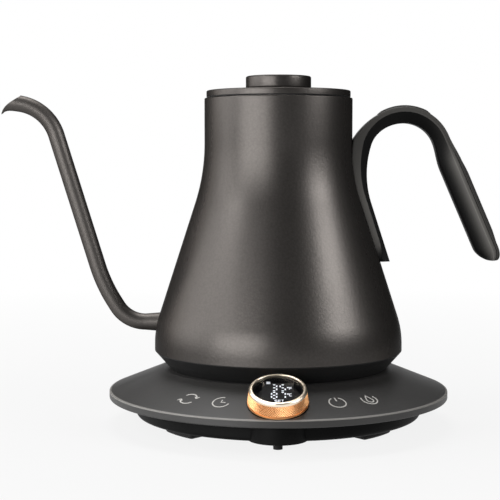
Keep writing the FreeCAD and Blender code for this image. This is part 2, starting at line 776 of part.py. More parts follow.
def along_wall(distance, outward):
    """A spot over the strap: a distance up from its foot and a distance out from the shell wall."""
    foot = strap_start - wall_out * size("strap_mid")
    return foot + wall_up * distance + wall_out * outward


def wall_rods(name, radius, low, high):
    """Two rods that stand square on the shell wall, one for each handle screw."""
    rods = []
    for k in range(2):
        rod = doc.addObject("Part::Cylinder", f"{name}_{k}")
        bind(rod, "Radius", radius)
        bind(rod, "Height", f"{high} - ({low})")
        spot = along_wall(size(f"handle_screw_low + {k} * handle_screw_pitch"), size(low))
        rod.Placement = Placement(spot, Rotation(Vector(0, 0, 1), wall_out))
        rods.append(rod)
    both = doc.addObject("Part::Compound", name)
    both.Links = rods
    return both


def cut(name, base, tool):
    """One object less another."""
    result = doc.addObject("Part::Cut", name)
    result.Base = base
    result.Tool = tool
    return result


STRAP_TOP = "(strap_mid + strap_thick / 2)"
HEAD_LOW = f"({STRAP_TOP} - screw_head_tall - fit_gap)"
boss_rods = wall_rods("boss_rods", "handle_boss_r", "-4 * run_gap", "handle_boss_tall")
boss_bores = wall_rods("boss_bores", "screw_r", "-6 * run_gap", STRAP_TOP)
boss_room = wall_rods("boss_room", "handle_boss_r + fit_gap", "-4 * run_gap", "handle_boss_tall + fit_gap")
head_room = wall_rods("head_room", "screw_head_r + fit_gap", HEAD_LOW, f"{STRAP_TOP} + strap_thick")
shank_room = wall_rods("shank_room", "screw_r + fit_gap", "0", STRAP_TOP)
head_rods = wall_rods("head_rods", "screw_head_r", HEAD_LOW, f"{STRAP_TOP} - fit_gap")
shank_rods = wall_rods("shank_rods", "screw_r", "run_gap", HEAD_LOW)
handle_rooms = doc.addObject("Part::MultiFuse", "handle_rooms")
handle_rooms.Shapes = [boss_room, head_room, shank_room]
fitted = cut("handle_fitted", handle_whole, envelope)
keep("handle_arm", cut("handle_arm", fitted, handle_rooms))
keep("handle_bosses", cut("handle_bosses", cut("bosses_fitted", boss_rods, envelope), boss_bores))
handle_screws = doc.addObject("Part::MultiFuse", "handle_screws")
handle_screws.Shapes = [head_rods, shank_rods]
keep("handle_screws", handle_screws)

# Thumb rest over the arch, and the cover strip along the back of the grip.
rest_angle = size("rest_turn")
rest = doc.addObject("Part::Feature", "thumb_rest")
rest_low = arch_r + arch_half + size("slip_gap / 2")
rest_wide = size("pad_wide / 2")
rest_face = Part.makePolygon([
    arch_middle + Vector(rest_low, -rest_wide, 0),
    arch_middle + Vector(rest_low + pad_thick, -rest_wide, 0),
    arch_middle + Vector(rest_low + pad_thick, rest_wide, 0),
    arch_middle + Vector(rest_low, rest_wide, 0),
    arch_middle + Vector(rest_low, -rest_wide, 0),
])
rest_face = Part.Face(rest_face)
rest_face.rotate(arch_middle, Vector(0, -1, 0), 90 - rest_angle)
rest.Shape = rest_face.revolve(arch_middle, Vector(0, -1, 0), 2 * rest_angle)
keep("thumb_rest", rest)
strip = doc.addObject("Part::Box", "handle_cover")
bind(strip, "Length", "grip_long - strip_down - strip_end")
bind(strip, "Width", "pad_wide")
bind(strip, "Height", "pad_thick")
grip_out = Vector(-grip_down.z, 0, grip_down.x)
strip_corner = grip_start + grip_down * size("strip_down") + grip_out * (grip_outer + size("slip_gap / 2"))
strip.Placement = Placement(
    strip_corner - Vector(0, rest_wide, 0),
    Rotation(grip_down, Vector(0, 1, 0), grip_out, "XYZ"),
)
keep("handle_cover", strip)

# Lid: sheet cover with a turned-down edge, liner plug with its seal, and the knob on its spacer.
SKIRT_Z = f"({MOUTH_Z} + lid_rise)"
turned("lid_cover", [
    ("screw_r + fit_gap", LID_Z),
    (LID_R, LID_Z, "lid_round"),
    (LID_R, SKIRT_Z),
    (f"{LID_R} - lid_sheet", SKIRT_Z),
    (f"{LID_R} - lid_sheet", f"{LID_Z} - lid_sheet"),
    ("screw_r + fit_gap", f"{LID_Z} - lid_sheet"),
])
PLUG_R = f"({MOUTH_R} - lid_sheet)"
PLUG_Z = f"({MOUTH_Z} - plug_deep)"
LINER_TOP_Z = f"({LID_Z} - lid_sheet)"
SEAL_Z = f"({MOUTH_Z} - lip_thick - seal_tall - run_gap)"
SEAL_IN = f"({PLUG_R} - plug_wall / 2)"
turned("lid_liner", [
    ("screw_r + fit_gap", PLUG_Z),
    (PLUG_R, PLUG_Z, "plug_wall"),
    (PLUG_R, SEAL_Z),
    (SEAL_IN, SEAL_Z),
    (SEAL_IN, f"{SEAL_Z} + seal_tall"),
    (PLUG_R, f"{SEAL_Z} + seal_tall"),
    (PLUG_R, f"{MOUTH_Z} + run_gap"),
    (f"{LID_R} - lid_sheet - fit_gap", f"{MOUTH_Z} + run_gap"),
    (f"{LID_R} - lid_sheet - fit_gap", LINER_TOP_Z),
    (f"{PLUG_R} - plug_wall", LINER_TOP_Z),
    (f"{PLUG_R} - plug_wall", f"{PLUG_Z} + plug_wall"),
    ("lid_boss_r", f"{PLUG_Z} + plug_wall"),
    ("lid_boss_r", LINER_TOP_Z),
    ("screw_r + fit_gap", LINER_TOP_Z),
])
turned("lid_seal", [
    (SEAL_IN, SEAL_Z),
    (f"{MOUTH_R} - run_gap", SEAL_Z),
    (f"{MOUTH_R} - run_gap", f"{SEAL_Z} + seal_tall"),
    (SEAL_IN, f"{SEAL_Z} + seal_tall"),
])
KNOB_Z = f"({LID_Z} + spacer_thick)"
turned("knob_spacer", [
    ("screw_r + fit_gap", LID_Z),
    ("knob_r - spacer_in", LID_Z),
    ("knob_r - spacer_in", KNOB_Z),
    ("screw_r + fit_gap", KNOB_Z),
])
turned("lid_knob", [
    ("screw_r", KNOB_Z),
    ("knob_r", KNOB_Z, "knob_under_round"),
    ("knob_r", f"{KNOB_Z} + knob_tall", "knob_round"),
    ("0", f"{KNOB_Z} + knob_tall"),
    ("0", f"{KNOB_Z} + knob_bore"),
    ("screw_r", f"{KNOB_Z} + knob_bore"),
])
screws("knob_screw", "0", "0", 1, f"({PLUG_Z} - screw_head_tall)", f"({KNOB_Z} + knob_bore - 2 * run_gap)")

# Base cover: shallow cone with a seat on top, a dial well at the front and four screw posts inside.
SLANT = "cover_wall / cos(apron_slope)"
cover = turned("base_cover", [
    ("socket_r + fit_gap", SEAT_Z),
    (TOP_R, SEAT_Z),
    (RIM_R, RIM_Z, "edge_round"),
    (RIM_R, BAND_Z, "edge_round"),
    (f"{RIM_R} - band_wall", BAND_Z),
    (f"{RIM_R} - band_wall", f"{RIM_Z} + band_wall * tan(apron_slope) - {SLANT}"),
    (f"{TOP_R} - ({SLANT} - cover_wall) / tan(apron_slope)", COVER_UNDER_Z),
    ("socket_r + fit_gap", COVER_UNDER_Z),
])
POST = about(POST_RING, "0")
cover_post = grow(cover, [(*POST, "cover_post_r")], TRAY_FLOOR_Z, COVER_UNDER_Z)
post_bore = sink(cover, [(*POST, "screw_r")], TRAY_FLOOR_Z, f"({TRAY_FLOOR_Z} + cover_bore)")
repeat(cover, [cover_post, post_bore], 4)


def tilted_cut(body, radius, top, deep):
    """Cuts a round well square to the apron under the dial."""
    before = body.Shape.Volume
    sketch = new_sketch(body, "XY_Plane")
    out = f"-({DIAL_R} + ({top}) * sin(apron_slope))"
    up = f"{DIAL_Z} + ({top}) * cos(apron_slope)"
    slope = Rotation(Vector(1, 0, 0), size("apron_slope"))
    sketch.AttachmentOffset = Placement(Vector(0, size(out), size(up)), slope)
    bind(sketch, "AttachmentOffset.Base.y", out)
    bind(sketch, "AttachmentOffset.Base.z", up)
    bind(sketch, "AttachmentOffset.Rotation.Angle", "apron_slope")
    draw_circle(sketch, "0", "0", radius)
    pocket = body.newObject("PartDesign::Pocket", f"{body.Name}_well")
    pocket.Profile = sketch
    bind(pocket, "Length", deep)
    doc.recompute()
    if body.Shape.Volume > before - 1e-3:
        raise RuntimeError(f"{body.Label}: a tilted cut removed nothing")


tilted_cut(cover, WELL_R, "well_deep", "2 * well_deep")
tilted_cut(cover, "stem_r + run_gap", "0", "2 * cover_wall")

# Base tray: pan with a flange under the rim, a bulge below the dial, standoffs and the cord hole.
tray = turned("base_tray", [
    ("0", TRAY_Z),
    (TRAY_R, TRAY_Z, "tray_wall"),
    (TRAY_R, BAND_Z),
    (f"{RIM_R} - band_wall - fit_gap", BAND_Z),
    (f"{RIM_R} - band_wall - fit_gap", FLANGE_TOP_Z),
    (f"{TRAY_R} - tray_wall", FLANGE_TOP_Z),
    (f"{TRAY_R} - tray_wall", TRAY_FLOOR_Z),
    ("0", TRAY_FLOOR_Z),
])
grow(tray, [("0", f"-{BULGE_Y}", "bulge_r")], TRAY_Z, FLANGE_TOP_Z)
sink(tray, [("0", f"-{BULGE_Y}", "bulge_r - tray_wall")], TRAY_FLOOR_Z, f"{FLANGE_TOP_Z} + fit_gap")
sink(tray, [("0", "0", f"{TRAY_R} - tray_wall")], TRAY_FLOOR_Z, f"{FLANGE_TOP_Z} + fit_gap")
POWER_FRONT = f"({BOARD_FAR} - power_deep)"
CONTROL_BACK = f"-({BOARD_FAR} - control_deep)"
standoffs = []
for half, front, back in (
    ("power_half", POWER_FRONT, BOARD_FAR),
    ("control_half", f"-{BOARD_FAR}", CONTROL_BACK),
):
    for side in ("-", ""):
        for depth in (f"{front} + board_hole_in", f"{back} - board_hole_in"):
            standoffs.append((f"{side}({half} - board_hole_in)", depth, "standoff_r"))
grow(tray, standoffs, TRAY_FLOOR_Z, BOARD_Z)
for turn in ("0", "90", "180", "270"):
    sink(tray, [(*about(POST_RING, turn), "screw_r + fit_gap")], TRAY_Z, TRAY_FLOOR_Z)
GLAND_Z = f"(({TRAY_FLOOR_Z} + {BAND_Z}) / 2)"
GLAND_Y = f"({TRAY_R} - tray_wall)"
sideways_hole(tray, "XZ_Plane", f"-({GLAND_Y} - tray_wall)", "0", GLAND_Z, "gland_neck_r", "4 * tray_wall")
TRAY_SCREW_TOP = f"({TRAY_FLOOR_Z} + tray_screw_reach)"
screws("tray_screws", POST_RING, "0", 4, f"({TRAY_Z} - screw_head_tall)", TRAY_SCREW_TOP)

# Feet under the tray, and the small foot under the bulge.
FOOT_OUT = f"({TRAY_R} - foot_in)"
FOOT_IN = f"({FOOT_OUT} - foot_wide)"
feet = new_body("rubber_feet")
foot_pads = []
for middle in [f"{side} {way} foot_turn" for side in ("90", "270") for way in "-+"]:
    foot_pads.append([
        (*about(FOOT_OUT, f"{middle} - foot_sweep"), "foot_round"),
        about(FOOT_OUT, middle),
        (*about(FOOT_OUT, f"{middle} + foot_sweep"), "foot_round"),
        (*about(FOOT_IN, f"{middle} + foot_sweep"), "foot_round"),
        about(FOOT_IN, middle),
        (*about(FOOT_IN, f"{middle} - foot_sweep"), "foot_round"),
    ])
grow(feet, foot_pads, "0", TRAY_Z)
front = new_body("front_foot")
grow(front, [("0", f"-{BULGE_Y}", "front_foot_r")], "0", TRAY_Z)

# Cord gland in the back wall, drawn upright and laid along +Y.
gland = turned("cord_gland", [
    ("gland_bore_r", "0"),
    ("gland_flange_r", "0"),
    ("gland_flange_r", "gland_lip"),
    ("gland_neck_r", "gland_lip"),
    ("gland_neck_r", "gland_lip + tray_wall + 2 * slip_gap"),
    ("gland_flange_r", "gland_lip + tray_wall + 2 * slip_gap"),
    ("gland_flange_r", "2 * gland_lip + tray_wall + 2 * slip_gap"),
    ("gland_bore_r", "2 * gland_lip + tray_wall + 2 * slip_gap"),
])
gland.Placement = Placement(Vector(0, 0, 0), Rotation(Vector(1, 0, 0), -90))
bind(gland, "Placement.Base.y", f"{GLAND_Y} - gland_lip - slip_gap")
bind(gland, "Placement.Base.z", GLAND_Z)

# Lower half of the connector: flanged socket, contact rings on its post and four clamp screws.
SOCKET_Z = f"({SEAT_Z} - socket_drop)"
SOCKET_LOW_Z = f"({COVER_UNDER_Z} - socket_deep)"
turned("base_socket", [
    ("contact_pin_r + 2 * run_gap", PIN_BORE_Z),
    ("0", PIN_BORE_Z),
    ("0", SOCKET_LOW_Z),
    ("post_r + contact_thick", SOCKET_LOW_Z),
    ("post_r + contact_thick", f"{COVER_UNDER_Z} - cup_wall"),
    ("socket_r + socket_flange", f"{COVER_UNDER_Z} - cup_wall"),
    ("socket_r + socket_flange", COVER_UNDER_Z),
    ("socket_r", COVER_UNDER_Z),
    ("socket_r", SOCKET_Z),
    ("post_r", SOCKET_Z),
    ("post_r", f"{SEAT_Z} + post_tall", "knob_round"),
    ("contact_pin_r + 2 * run_gap", f"{SEAT_Z} + post_tall"),
])
rings = new_body("socket_contacts")
for low in (RING_LOW_Z, RING_HIGH_Z):
    grow(rings, [("0", "0", "post_r + contact_thick"), ("0", "0", "post_r")], low, f"{low} + contact_tall")
SOCKET_SCREW_Z = f"({COVER_UNDER_Z} - cup_wall - screw_head_tall)"
socket_clips = new_body("socket_screws")
CLIP_SPOT = about("socket_r + socket_flange + screw_head_r", "45")
clip = grow(
    socket_clips,
    [(*CLIP_SPOT, "screw_head_r + screw_r")],
    SOCKET_SCREW_Z,
    f"{COVER_UNDER_Z} - cup_wall",
)
clip_shank = grow(socket_clips, [(*CLIP_SPOT, "screw_r")], f"({COVER_UNDER_Z} - cup_wall)", COVER_UNDER_Z)
repeat(socket_clips, [clip, clip_shank], 4)

# Boards and what they carry.
PARTS_Z = f"({BOARD_Z} + board_thick)"
power = new_body("power_board")
grow(power, [box_outline("-power_half", "power_half", POWER_FRONT, BOARD_FAR)], BOARD_Z, PARTS_Z)
control = new_body("control_board")
grow(control, [box_outline("-control_half", "control_half", f"-{BOARD_FAR}", CONTROL_BACK)], BOARD_Z, PARTS_Z)
POWER_MID = f"({BOARD_FAR} - power_deep / 2)"
RELAY_X = "(part_gap - power_half)"
TRANSFORMER_X = f"({RELAY_X} + relay_long + part_gap)"
CAN_X = f"({TRANSFORMER_X} + transformer_long + part_gap + can_r)"
for part, left in (
    ("relay", RELAY_X),
    ("transformer", TRANSFORMER_X),
    ("terminal", "(power_half - part_gap / 2 - terminal_long)"),
):
    block = new_body("terminal_block" if part == "terminal" else part)
    near = f"{POWER_MID} - {part}_deep / 2"
    far = f"{POWER_MID} + {part}_deep / 2"
    grow(block, [box_outline(left, f"{left} + {part}_long", near, far)], PARTS_Z, f"{PARTS_Z} + {part}_tall")
cans = new_body("capacitors")
can_spots = [(CAN_X, f"{POWER_MID} {way} can_pitch / 2", "can_r") for way in "-+"]
grow(cans, can_spots, PARTS_Z, f"{PARTS_Z} + can_tall")
buzzer = new_body("buzzer")
buzzer_spot = ("control_half - part_gap - buzzer_r", f"-({BOARD_FAR} - control_deep / 2)", "buzzer_r")
grow(buzzer, [buzzer_spot], PARTS_Z, f"{PARTS_Z} + buzzer_tall")

# Touch boards on the tray flange, with one sensing spring under each printed key.
boards = new_body("touch_boards")
for side in ("270 - ", "270 + "):
    inner_r = f"({KEY_R} - touch_board_half)"
    outer_r = f"({KEY_R} + touch_board_half)"
    bend = "((touch_board_from + touch_board_to) / 2)"
    corners = [
        about(inner_r, f"{side}touch_board_from"),
        about(outer_r, f"{side}touch_board_from"),
        about(outer_r, f"{side}{bend}"),
        about(outer_r, f"{side}touch_board_to"),
        about(inner_r, f"{side}touch_board_to"),
        about(inner_r, f"{side}{bend}"),
    ]
    grow(boards, [corners], FLANGE_TOP_Z, f"{FLANGE_TOP_Z} + board_thick")
springs = new_body("touch_springs")
key_spots = [about(KEY_R, f"270 {way} {angle}") for way in "-+" for angle in ("key_near", "key_far")]
SPRING_TOP_Z = f"({RIM_Z} + ({RIM_R} - {KEY_R} - touch_spring_r) * tan(apron_slope) - {SLANT} - slip_gap)"
SPRING_LOW_Z = f"({FLANGE_TOP_Z} + board_thick)"
grow(springs, [(*spot, "touch_spring_r") for spot in key_spots], SPRING_LOW_Z, SPRING_TOP_Z)


def seat_on_apron(body):
    """Tilts a dial piece, drawn upright with its heights counted from below the apron."""
    body.Placement = Placement(Vector(0, 0, 0), Rotation(Vector(1, 0, 0), size("apron_slope")))
    bind(body, "Placement.Base.y", f"-({DIAL_R} - dial_depth * sin(apron_slope))")
    bind(body, "Placement.Base.z", f"{DIAL_Z} - dial_depth * cos(apron_slope)")
    bind(body, "Placement.Rotation.Angle", "apron_slope")
    doc.recompute()


# Dial: turning ring with its magnet ring.
DIAL_LOW = "(dial_depth - well_deep + dial_press + 2 * run_gap)"
DIAL_TOP = "(dial_depth + dial_tall)"
LIP_R = "(dial_top_r - dial_lip)"
BORE_R = "(dial_top_r - dial_wall)"
LIP_Z = f"({DIAL_TOP} - dial_lip_thick)"
MAGNET_R = f"({BORE_R} + magnet_thick)"
MAGNET_TOP = f"({DIAL_LOW} + magnet_tall)"
dial = turned("dial_ring", [
    (MAGNET_R, DIAL_LOW),
    ("dial_foot_r", DIAL_LOW),
    ("dial_top_r", f"{DIAL_TOP} - dial_bevel"),
    ("dial_top_r - dial_bevel", DIAL_TOP),
    (f"{LIP_R} + dial_bevel", DIAL_TOP),
    (LIP_R, f"{DIAL_TOP} - dial_bevel"),
    (LIP_R, LIP_Z),
    (BORE_R, LIP_Z),
    (BORE_R, MAGNET_TOP),
    (MAGNET_R, MAGNET_TOP),
])
seat_on_apron(dial)
magnet = turned("magnet_ring", [
    (f"{BORE_R} + slip_gap", f"{DIAL_LOW} + slip_gap"),
    (MAGNET_R, f"{DIAL_LOW} + slip_gap"),
    (MAGNET_R, MAGNET_TOP),
    (f"{BORE_R} + slip_gap", MAGNET_TOP),
])
seat_on_apron(magnet)

# Dial: the core that presses in, with window, display, stem, clip and switch plunger.
CORE_R = f"({BORE_R} - slip_gap)"
CORE_IN = f"({CORE_R} - core_wall)"
CORE_LOW = f"({DIAL_LOW} + 2 * run_gap)"
CORE_TOP = f"({LIP_Z} - slip_gap)"
CORE_FLOOR = f"({CORE_LOW} + housing_wall)"
DISPLAY_TOP = f"({CORE_FLOOR} + display_thick)"
HOUSING_TOP = "(dial_depth - cover_wall - run_gap)"
HOUSING_ROOF = f"({HOUSING_TOP} - housing_wall)"
HOUSING_LOW = f"({HOUSING_TOP} - housing_tall)"
HOUSING_FLOOR = f"({HOUSING_LOW} + housing_wall)"
SWITCH_TOP = f"({HOUSING_FLOOR} + switch_tall)"
PLUNGER_CAP = f"({SWITCH_TOP} + dial_press + run_gap)"
STEM_LOW = f"({PLUNGER_CAP} + plunger_cap)"
core = turned("dial_core", [
    ("stem_bore_r", STEM_LOW),
    ("stem_r", STEM_LOW),
    ("stem_r", CORE_LOW),
    (CORE_R, CORE_LOW),
    (CORE_R, CORE_TOP),
    (CORE_IN, CORE_TOP),
    (CORE_IN, CORE_FLOOR),
    ("stem_bore_r", CORE_FLOOR),
])
seat_on_apron(core)
window = new_body("dial_window")
grow(window, [("0", "0", f"{LIP_R} - run_gap")], CORE_TOP, f"{DIAL_TOP} - window_drop")
seat_on_apron(window)
display = new_body("display_board")
grow(display, [("0", "0", f"{CORE_IN} - fit_gap")], CORE_FLOOR, DISPLAY_TOP)
seat_on_apron(display)
lights = new_body("led_display")
light_square = box_outline("-light_half", "light_half", "-light_half", "light_half")
grow(lights, [light_square], DISPLAY_TOP, f"{CORE_TOP} - fit_gap")
seat_on_apron(lights)
CLIP_TOP = f"({HOUSING_ROOF} - run_gap)"
CLIP_LOW = f"({CLIP_TOP} - clip_thick)"
clip_ring = turned("stem_clip", [
    ("stem_r", CLIP_LOW),
    ("stem_r + clip_wide", CLIP_LOW),
    ("stem_r + clip_wide", CLIP_TOP),
    ("stem_r", CLIP_TOP),
])
seat_on_apron(clip_ring)
plunger = new_body("switch_plunger")
grow(plunger, [("0", "0", "plunger_r")], f"{HOUSING_FLOOR} + dial_press + run_gap", PLUNGER_CAP)
grow(plunger, [("0", "0", "stem_r - run_gap")], PLUNGER_CAP, STEM_LOW)
seat_on_apron(plunger)

# Fixed parts under the dial: housing cup and press switch.
housing = turned("dial_housing", [
    ("0", HOUSING_LOW),
    ("housing_r", HOUSING_LOW),
    ("housing_r", HOUSING_TOP),
    ("stem_r + run_gap", HOUSING_TOP),
    ("stem_r + run_gap", HOUSING_ROOF),
    ("housing_r - housing_wall", HOUSING_ROOF),
    ("housing_r - housing_wall", HOUSING_FLOOR),
    ("0", HOUSING_FLOOR),
])
seat_on_apron(housing)
switch = turned("press_switch", [
    ("plunger_r + run_gap", HOUSING_FLOOR),
    ("switch_r", HOUSING_FLOOR),
    ("switch_r", SWITCH_TOP),
    ("plunger_r + run_gap", SWITCH_TOP),
])
seat_on_apron(switch)

# Checks, then one file for each sub-part.
doc.recompute()
for thing in doc.Objects:
    if {"Invalid", "Error"} & set(thing.State):
        raise RuntimeError(f"{thing.Label} did not build: {thing.State}")
for label, thing in NODES.items():
    if thing.Shape.isNull() or not thing.Shape.isValid() or not thing.Shape.Solids:
        raise RuntimeError(f"{label} has no sound shape")
os.makedirs("parts", exist_ok=True)
for label, thing in NODES.items():
    thing.Shape.exportStep(f"parts/{label}.step")
print(len(NODES), "sub-parts written")
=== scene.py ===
import json
import math

import bmesh
import bpy
from mathutils import Matrix, Vector


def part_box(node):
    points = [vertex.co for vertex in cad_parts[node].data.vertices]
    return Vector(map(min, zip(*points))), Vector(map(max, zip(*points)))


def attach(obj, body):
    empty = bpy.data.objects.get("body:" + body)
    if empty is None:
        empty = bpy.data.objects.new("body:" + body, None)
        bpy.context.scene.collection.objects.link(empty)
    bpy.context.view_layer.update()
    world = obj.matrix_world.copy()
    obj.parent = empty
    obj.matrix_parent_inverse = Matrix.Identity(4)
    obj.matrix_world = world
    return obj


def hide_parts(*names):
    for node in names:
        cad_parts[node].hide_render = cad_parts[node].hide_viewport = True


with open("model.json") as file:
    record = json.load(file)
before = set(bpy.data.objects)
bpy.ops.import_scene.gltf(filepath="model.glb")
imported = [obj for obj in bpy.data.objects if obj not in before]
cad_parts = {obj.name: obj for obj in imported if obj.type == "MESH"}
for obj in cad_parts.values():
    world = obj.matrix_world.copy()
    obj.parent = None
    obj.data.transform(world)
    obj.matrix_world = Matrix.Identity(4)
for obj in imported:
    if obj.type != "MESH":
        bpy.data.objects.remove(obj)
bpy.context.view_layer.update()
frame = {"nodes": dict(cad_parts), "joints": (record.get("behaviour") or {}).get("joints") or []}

# Base tray: the pan that carries the power base, with a bulge under the dial.
# Black plastic moulded in a spark-grained tool, held to the cover by four screws from below.
MM = 0.001
CLOUD_SIZE = 22.0 * MM


class Wire:
    """One value in a node tree. Arithmetic on wires adds Math nodes to their tree."""

    def __init__(self, tree, socket):
        self.tree = tree
        self.socket = socket

    def math(self, operation, first, second=0.0):
        return self.tree.node("ShaderNodeMath", {"operation": operation}, {0: first, 1: second})

    def __add__(self, other):
        return self.math("ADD", self, other)

    def __sub__(self, other):
        return self.math("SUBTRACT", self, other)

    def __rsub__(self, other):
        return self.math("SUBTRACT", other, self)

    def __mul__(self, other):
        return self.math("MULTIPLY", self, other)

    def __truediv__(self, other):
        return self.math("DIVIDE", self, other)

    def __mod__(self, other):
        return self.math("MODULO", self, other)

    __radd__ = __add__
    __rmul__ = __mul__


class Tree:
    """A node tree that is being written, for a finish or for a repeated shape."""

    def __init__(self, tree):
        self.tree = tree

    def node(self, kind, settings=None, values=None, out=0):
        """Adds a node, sets it up, fills its sockets with numbers or wires, and gives one output."""
        made = self.tree.nodes.new(kind)
        for name, setting in (settings or {}).items():
            setattr(made, name, setting)
        for name, value in (values or {}).items():
            self.feed(made.inputs[name], value)
        return Wire(self, made.outputs[out])

    def feed(self, socket, value):
        """Fills a socket with a number, a colour or a wire."""
        if isinstance(value, Wire):
            self.tree.links.new(value.socket, socket)
        else:
            socket.default_value = value

    def mix(self, share, first, second):
        """A colour between two others."""
        return self.node("ShaderNodeMix", {"data_type": "RGBA"}, {0: share, 6: first, 7: second}, out=2)


class Finish(Tree):
    """A surface finish: a material whose constants are set here and whose detail is wired later."""

    def __init__(self, name, constants):
        self.material = bpy.data.materials.new(name)
        self.material.use_nodes = True
        super().__init__(self.material.node_tree)
        self.surface = self.tree.nodes["Principled BSDF"]
        for socket, value in constants.items():
            self.surface.inputs[socket].default_value = value

    def wire(self, socket, value):
        """Feeds one socket of the surface."""
        self.feed(self.surface.inputs[socket], value)

    def spot(self):
        """Where on the piece the shaded point is, in metres."""
        return self.node("ShaderNodeTexCoord", out="Object")

    def noise(self, spot, size, detail=2.0):
        """Soft cloudy values between 0 and 1, with lumps of about that size."""
        values = {"Vector": spot, "Scale": 1 / size, "Detail": detail}
        return self.node("ShaderNodeTexNoise", values=values)

    def bump(self, height, depth):
        """Relief: height from 0 to 1 stands up to depth metres."""
        values = {"Height": height, "Distance": depth, "Strength": 1.0}
        self.wire("Normal", self.node("ShaderNodeBump", values=values))


def shade(red, green, blue):
    """A colour from its three screen levels, 0 to 255."""
    levels = []
    for level in (red, green, blue):
        part = level / 255
        levels.append(part / 12.92 if part < 0.04045 else ((part + 0.055) / 1.055) ** 2.4)
    return (*levels, 1.0)


def dimmed(colour, share):
    """The same colour at a share of its brightness."""
    return [level * share for level in colour[:3]] + [1.0]


def grained(name, gloss, grain, depth):
    """The start of a moulded finish, with its relief: the finish, its pebbles and its clouds."""
    finish = Finish(name, {"Specular IOR Level": gloss})
    spot = finish.spot()
    pebbles = finish.noise(spot, grain)
    finish.bump(pebbles, depth)
    return finish, pebbles, finish.noise(spot, CLOUD_SIZE)


def moulded(name, colour, roughness, grain, depth, gloss=0.35):
    """A moulded plastic or rubber: slightly clouded colour, a pebbled grain and an uneven sheen."""
    finish, pebbles, clouds = grained(name, gloss, grain, depth)
    finish.wire("Base Color", finish.mix(0.55 * clouds + 0.45 * pebbles, dimmed(colour, 0.82), colour))
    finish.wire("Roughness", roughness - 0.06 + 0.12 * clouds)
    return finish


def dress(finish, *nodes):
    """Gives a finish to nodes whose own shape is shown."""
    for name in nodes:
        slots = frame["nodes"][name].data.materials
        slots.clear()
        slots.append(finish.material)


tray_plastic = moulded("tray_plastic", shade(9, 9, 9), 0.55, grain=0.35 * MM, depth=0.02 * MM, gloss=0.08)
dress(tray_plastic, "base_tray")

# Feet: four curved pads pressed into the tray, and a small nub under the dial bulge.
# Black rubber, moulded with softly rounded edges so that the base doesn't mark the worktop.
FOOT_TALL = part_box("rubber_feet")[1].z
FOOT_OUT = 74.0 * MM
FOOT_WIDE = 12.0 * MM
FOOT_SWEEP = 10.5
FOOT_TURN = 51.5
FOOT_EDGE = 1.9 * MM
FOOT_STEPS = 14
FOOT_EDGE_STEPS = 4
FOOT_EDGE_ANGLE = math.radians(50)
MERGE_WITHIN = 0.002 * MM


def put(name, data):
    """Puts a mesh, lamp or lens into the scene under a name."""
    thing = bpy.data.objects.new(name, data)
    bpy.context.scene.collection.objects.link(thing)
    return thing


def solid(name, points, faces, finish, crease=32.0, painted_shades=()):
    """A closed piece: doubles merged, faces outwards, smooth but for edges sharper than the crease."""
    work = bmesh.new()
    layer = work.verts.layers.float.new("painted_shade") if painted_shades else None
    spots = [work.verts.new(point) for point in points]
    for spot, painted_shade in zip(spots, painted_shades):
        spot[layer] = painted_shade
    for face in faces:
        work.faces.new([spots[i] for i in face])
    bmesh.ops.remove_doubles(work, verts=work.verts, dist=MERGE_WITHIN)
    bmesh.ops.recalc_face_normals(work, faces=work.faces)
    for face in work.faces:
        face.smooth = True
    for edge in work.edges:
        edge.smooth = edge.calc_face_angle(0.0) < math.radians(crease)
    mesh = bpy.data.meshes.new(name)
    work.to_mesh(mesh)
    work.free()
    mesh.materials.append(finish.material)
    return put(name, mesh)


def settle(piece):
    """Turns a piece and its modifiers into a plain mesh."""
    shown = piece.evaluated_get(bpy.context.evaluated_depsgraph_get())
    mesh = bpy.data.meshes.new_from_object(shown)
    piece.modifiers.clear()
    piece.data = mesh


def seat(piece, body, slot, *nodes):
    """Fixes a piece to a body and lets it stand for its plain nodes; slot is not used."""
    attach(piece, body)
    if nodes:
        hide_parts(*nodes)


def polar(radius, degrees, height=0.0):
    """A spot round the kettle's axis; 0 is the grip's side and 270 the dial's."""
    turn = math.radians(degrees)
    return Vector((radius * math.cos(turn), radius * math.sin(turn), height))


def between(first, second, share):
    """A value part of the way from one to another."""
    return first + (second - first) * share


def shares(count, first=0):
    """Even steps from 0 to 1, without those before the first that is asked for."""
    return [k / count for k in range(first, count + 1)]


def slab(name, flat, faces, place, finish, thick):
    """A flat drawing with a thickness to both sides, laid where place puts it."""
    count = len(flat)
    points = [place(spot, thick) for spot in flat] + [place(spot, -thick) for spot in flat]
    skin = list(faces) + [tuple(count + i for i in face) for face in faces]
    rim = {}
    for face in faces:
        for i, j in zip(face, face[1:] + face[:1]):
            rim[(i, j)] = True
    for i, j in rim:
        if (j, i) not in rim:
            skin.append((i, j, count + j, count + i))
    return solid(name, points, skin, finish)


def on_worktop(spot, proud):
    """Stands a foot's outline on the worktop."""
    return spot + Vector((0, 0, FOOT_TALL / 2 + proud))


rubber = moulded("black_rubber", shade(22, 22, 22), 0.72, grain=0.25 * MM, depth=0.015 * MM, gloss=0.25)
foot_points = []
foot_faces = []
for middle in (90 - FOOT_TURN, 90 + FOOT_TURN, 270 - FOOT_TURN, 270 + FOOT_TURN):
    turns = [between(middle - FOOT_SWEEP, middle + FOOT_SWEEP, share) for share in shares(FOOT_STEPS)]
    first = len(foot_points)
    foot_points += [polar(FOOT_OUT, turn) for turn in turns]
    foot_points += [polar(FOOT_OUT - FOOT_WIDE, turn) for turn in reversed(turns)]
    foot_faces.append(tuple(range(first, len(foot_points))))
feet = slab("foot_pads", foot_points, foot_faces, on_worktop, rubber, FOOT_TALL / 2)
edges = feet.modifiers.new("edges", "BEVEL")
edges.width = FOOT_EDGE
edges.segments = FOOT_EDGE_STEPS
edges.angle_limit = FOOT_EDGE_ANGLE
settle(feet)
seat(feet, "base", "rubber", "rubber_feet")
dress(rubber, "front_foot", "cord_gland")

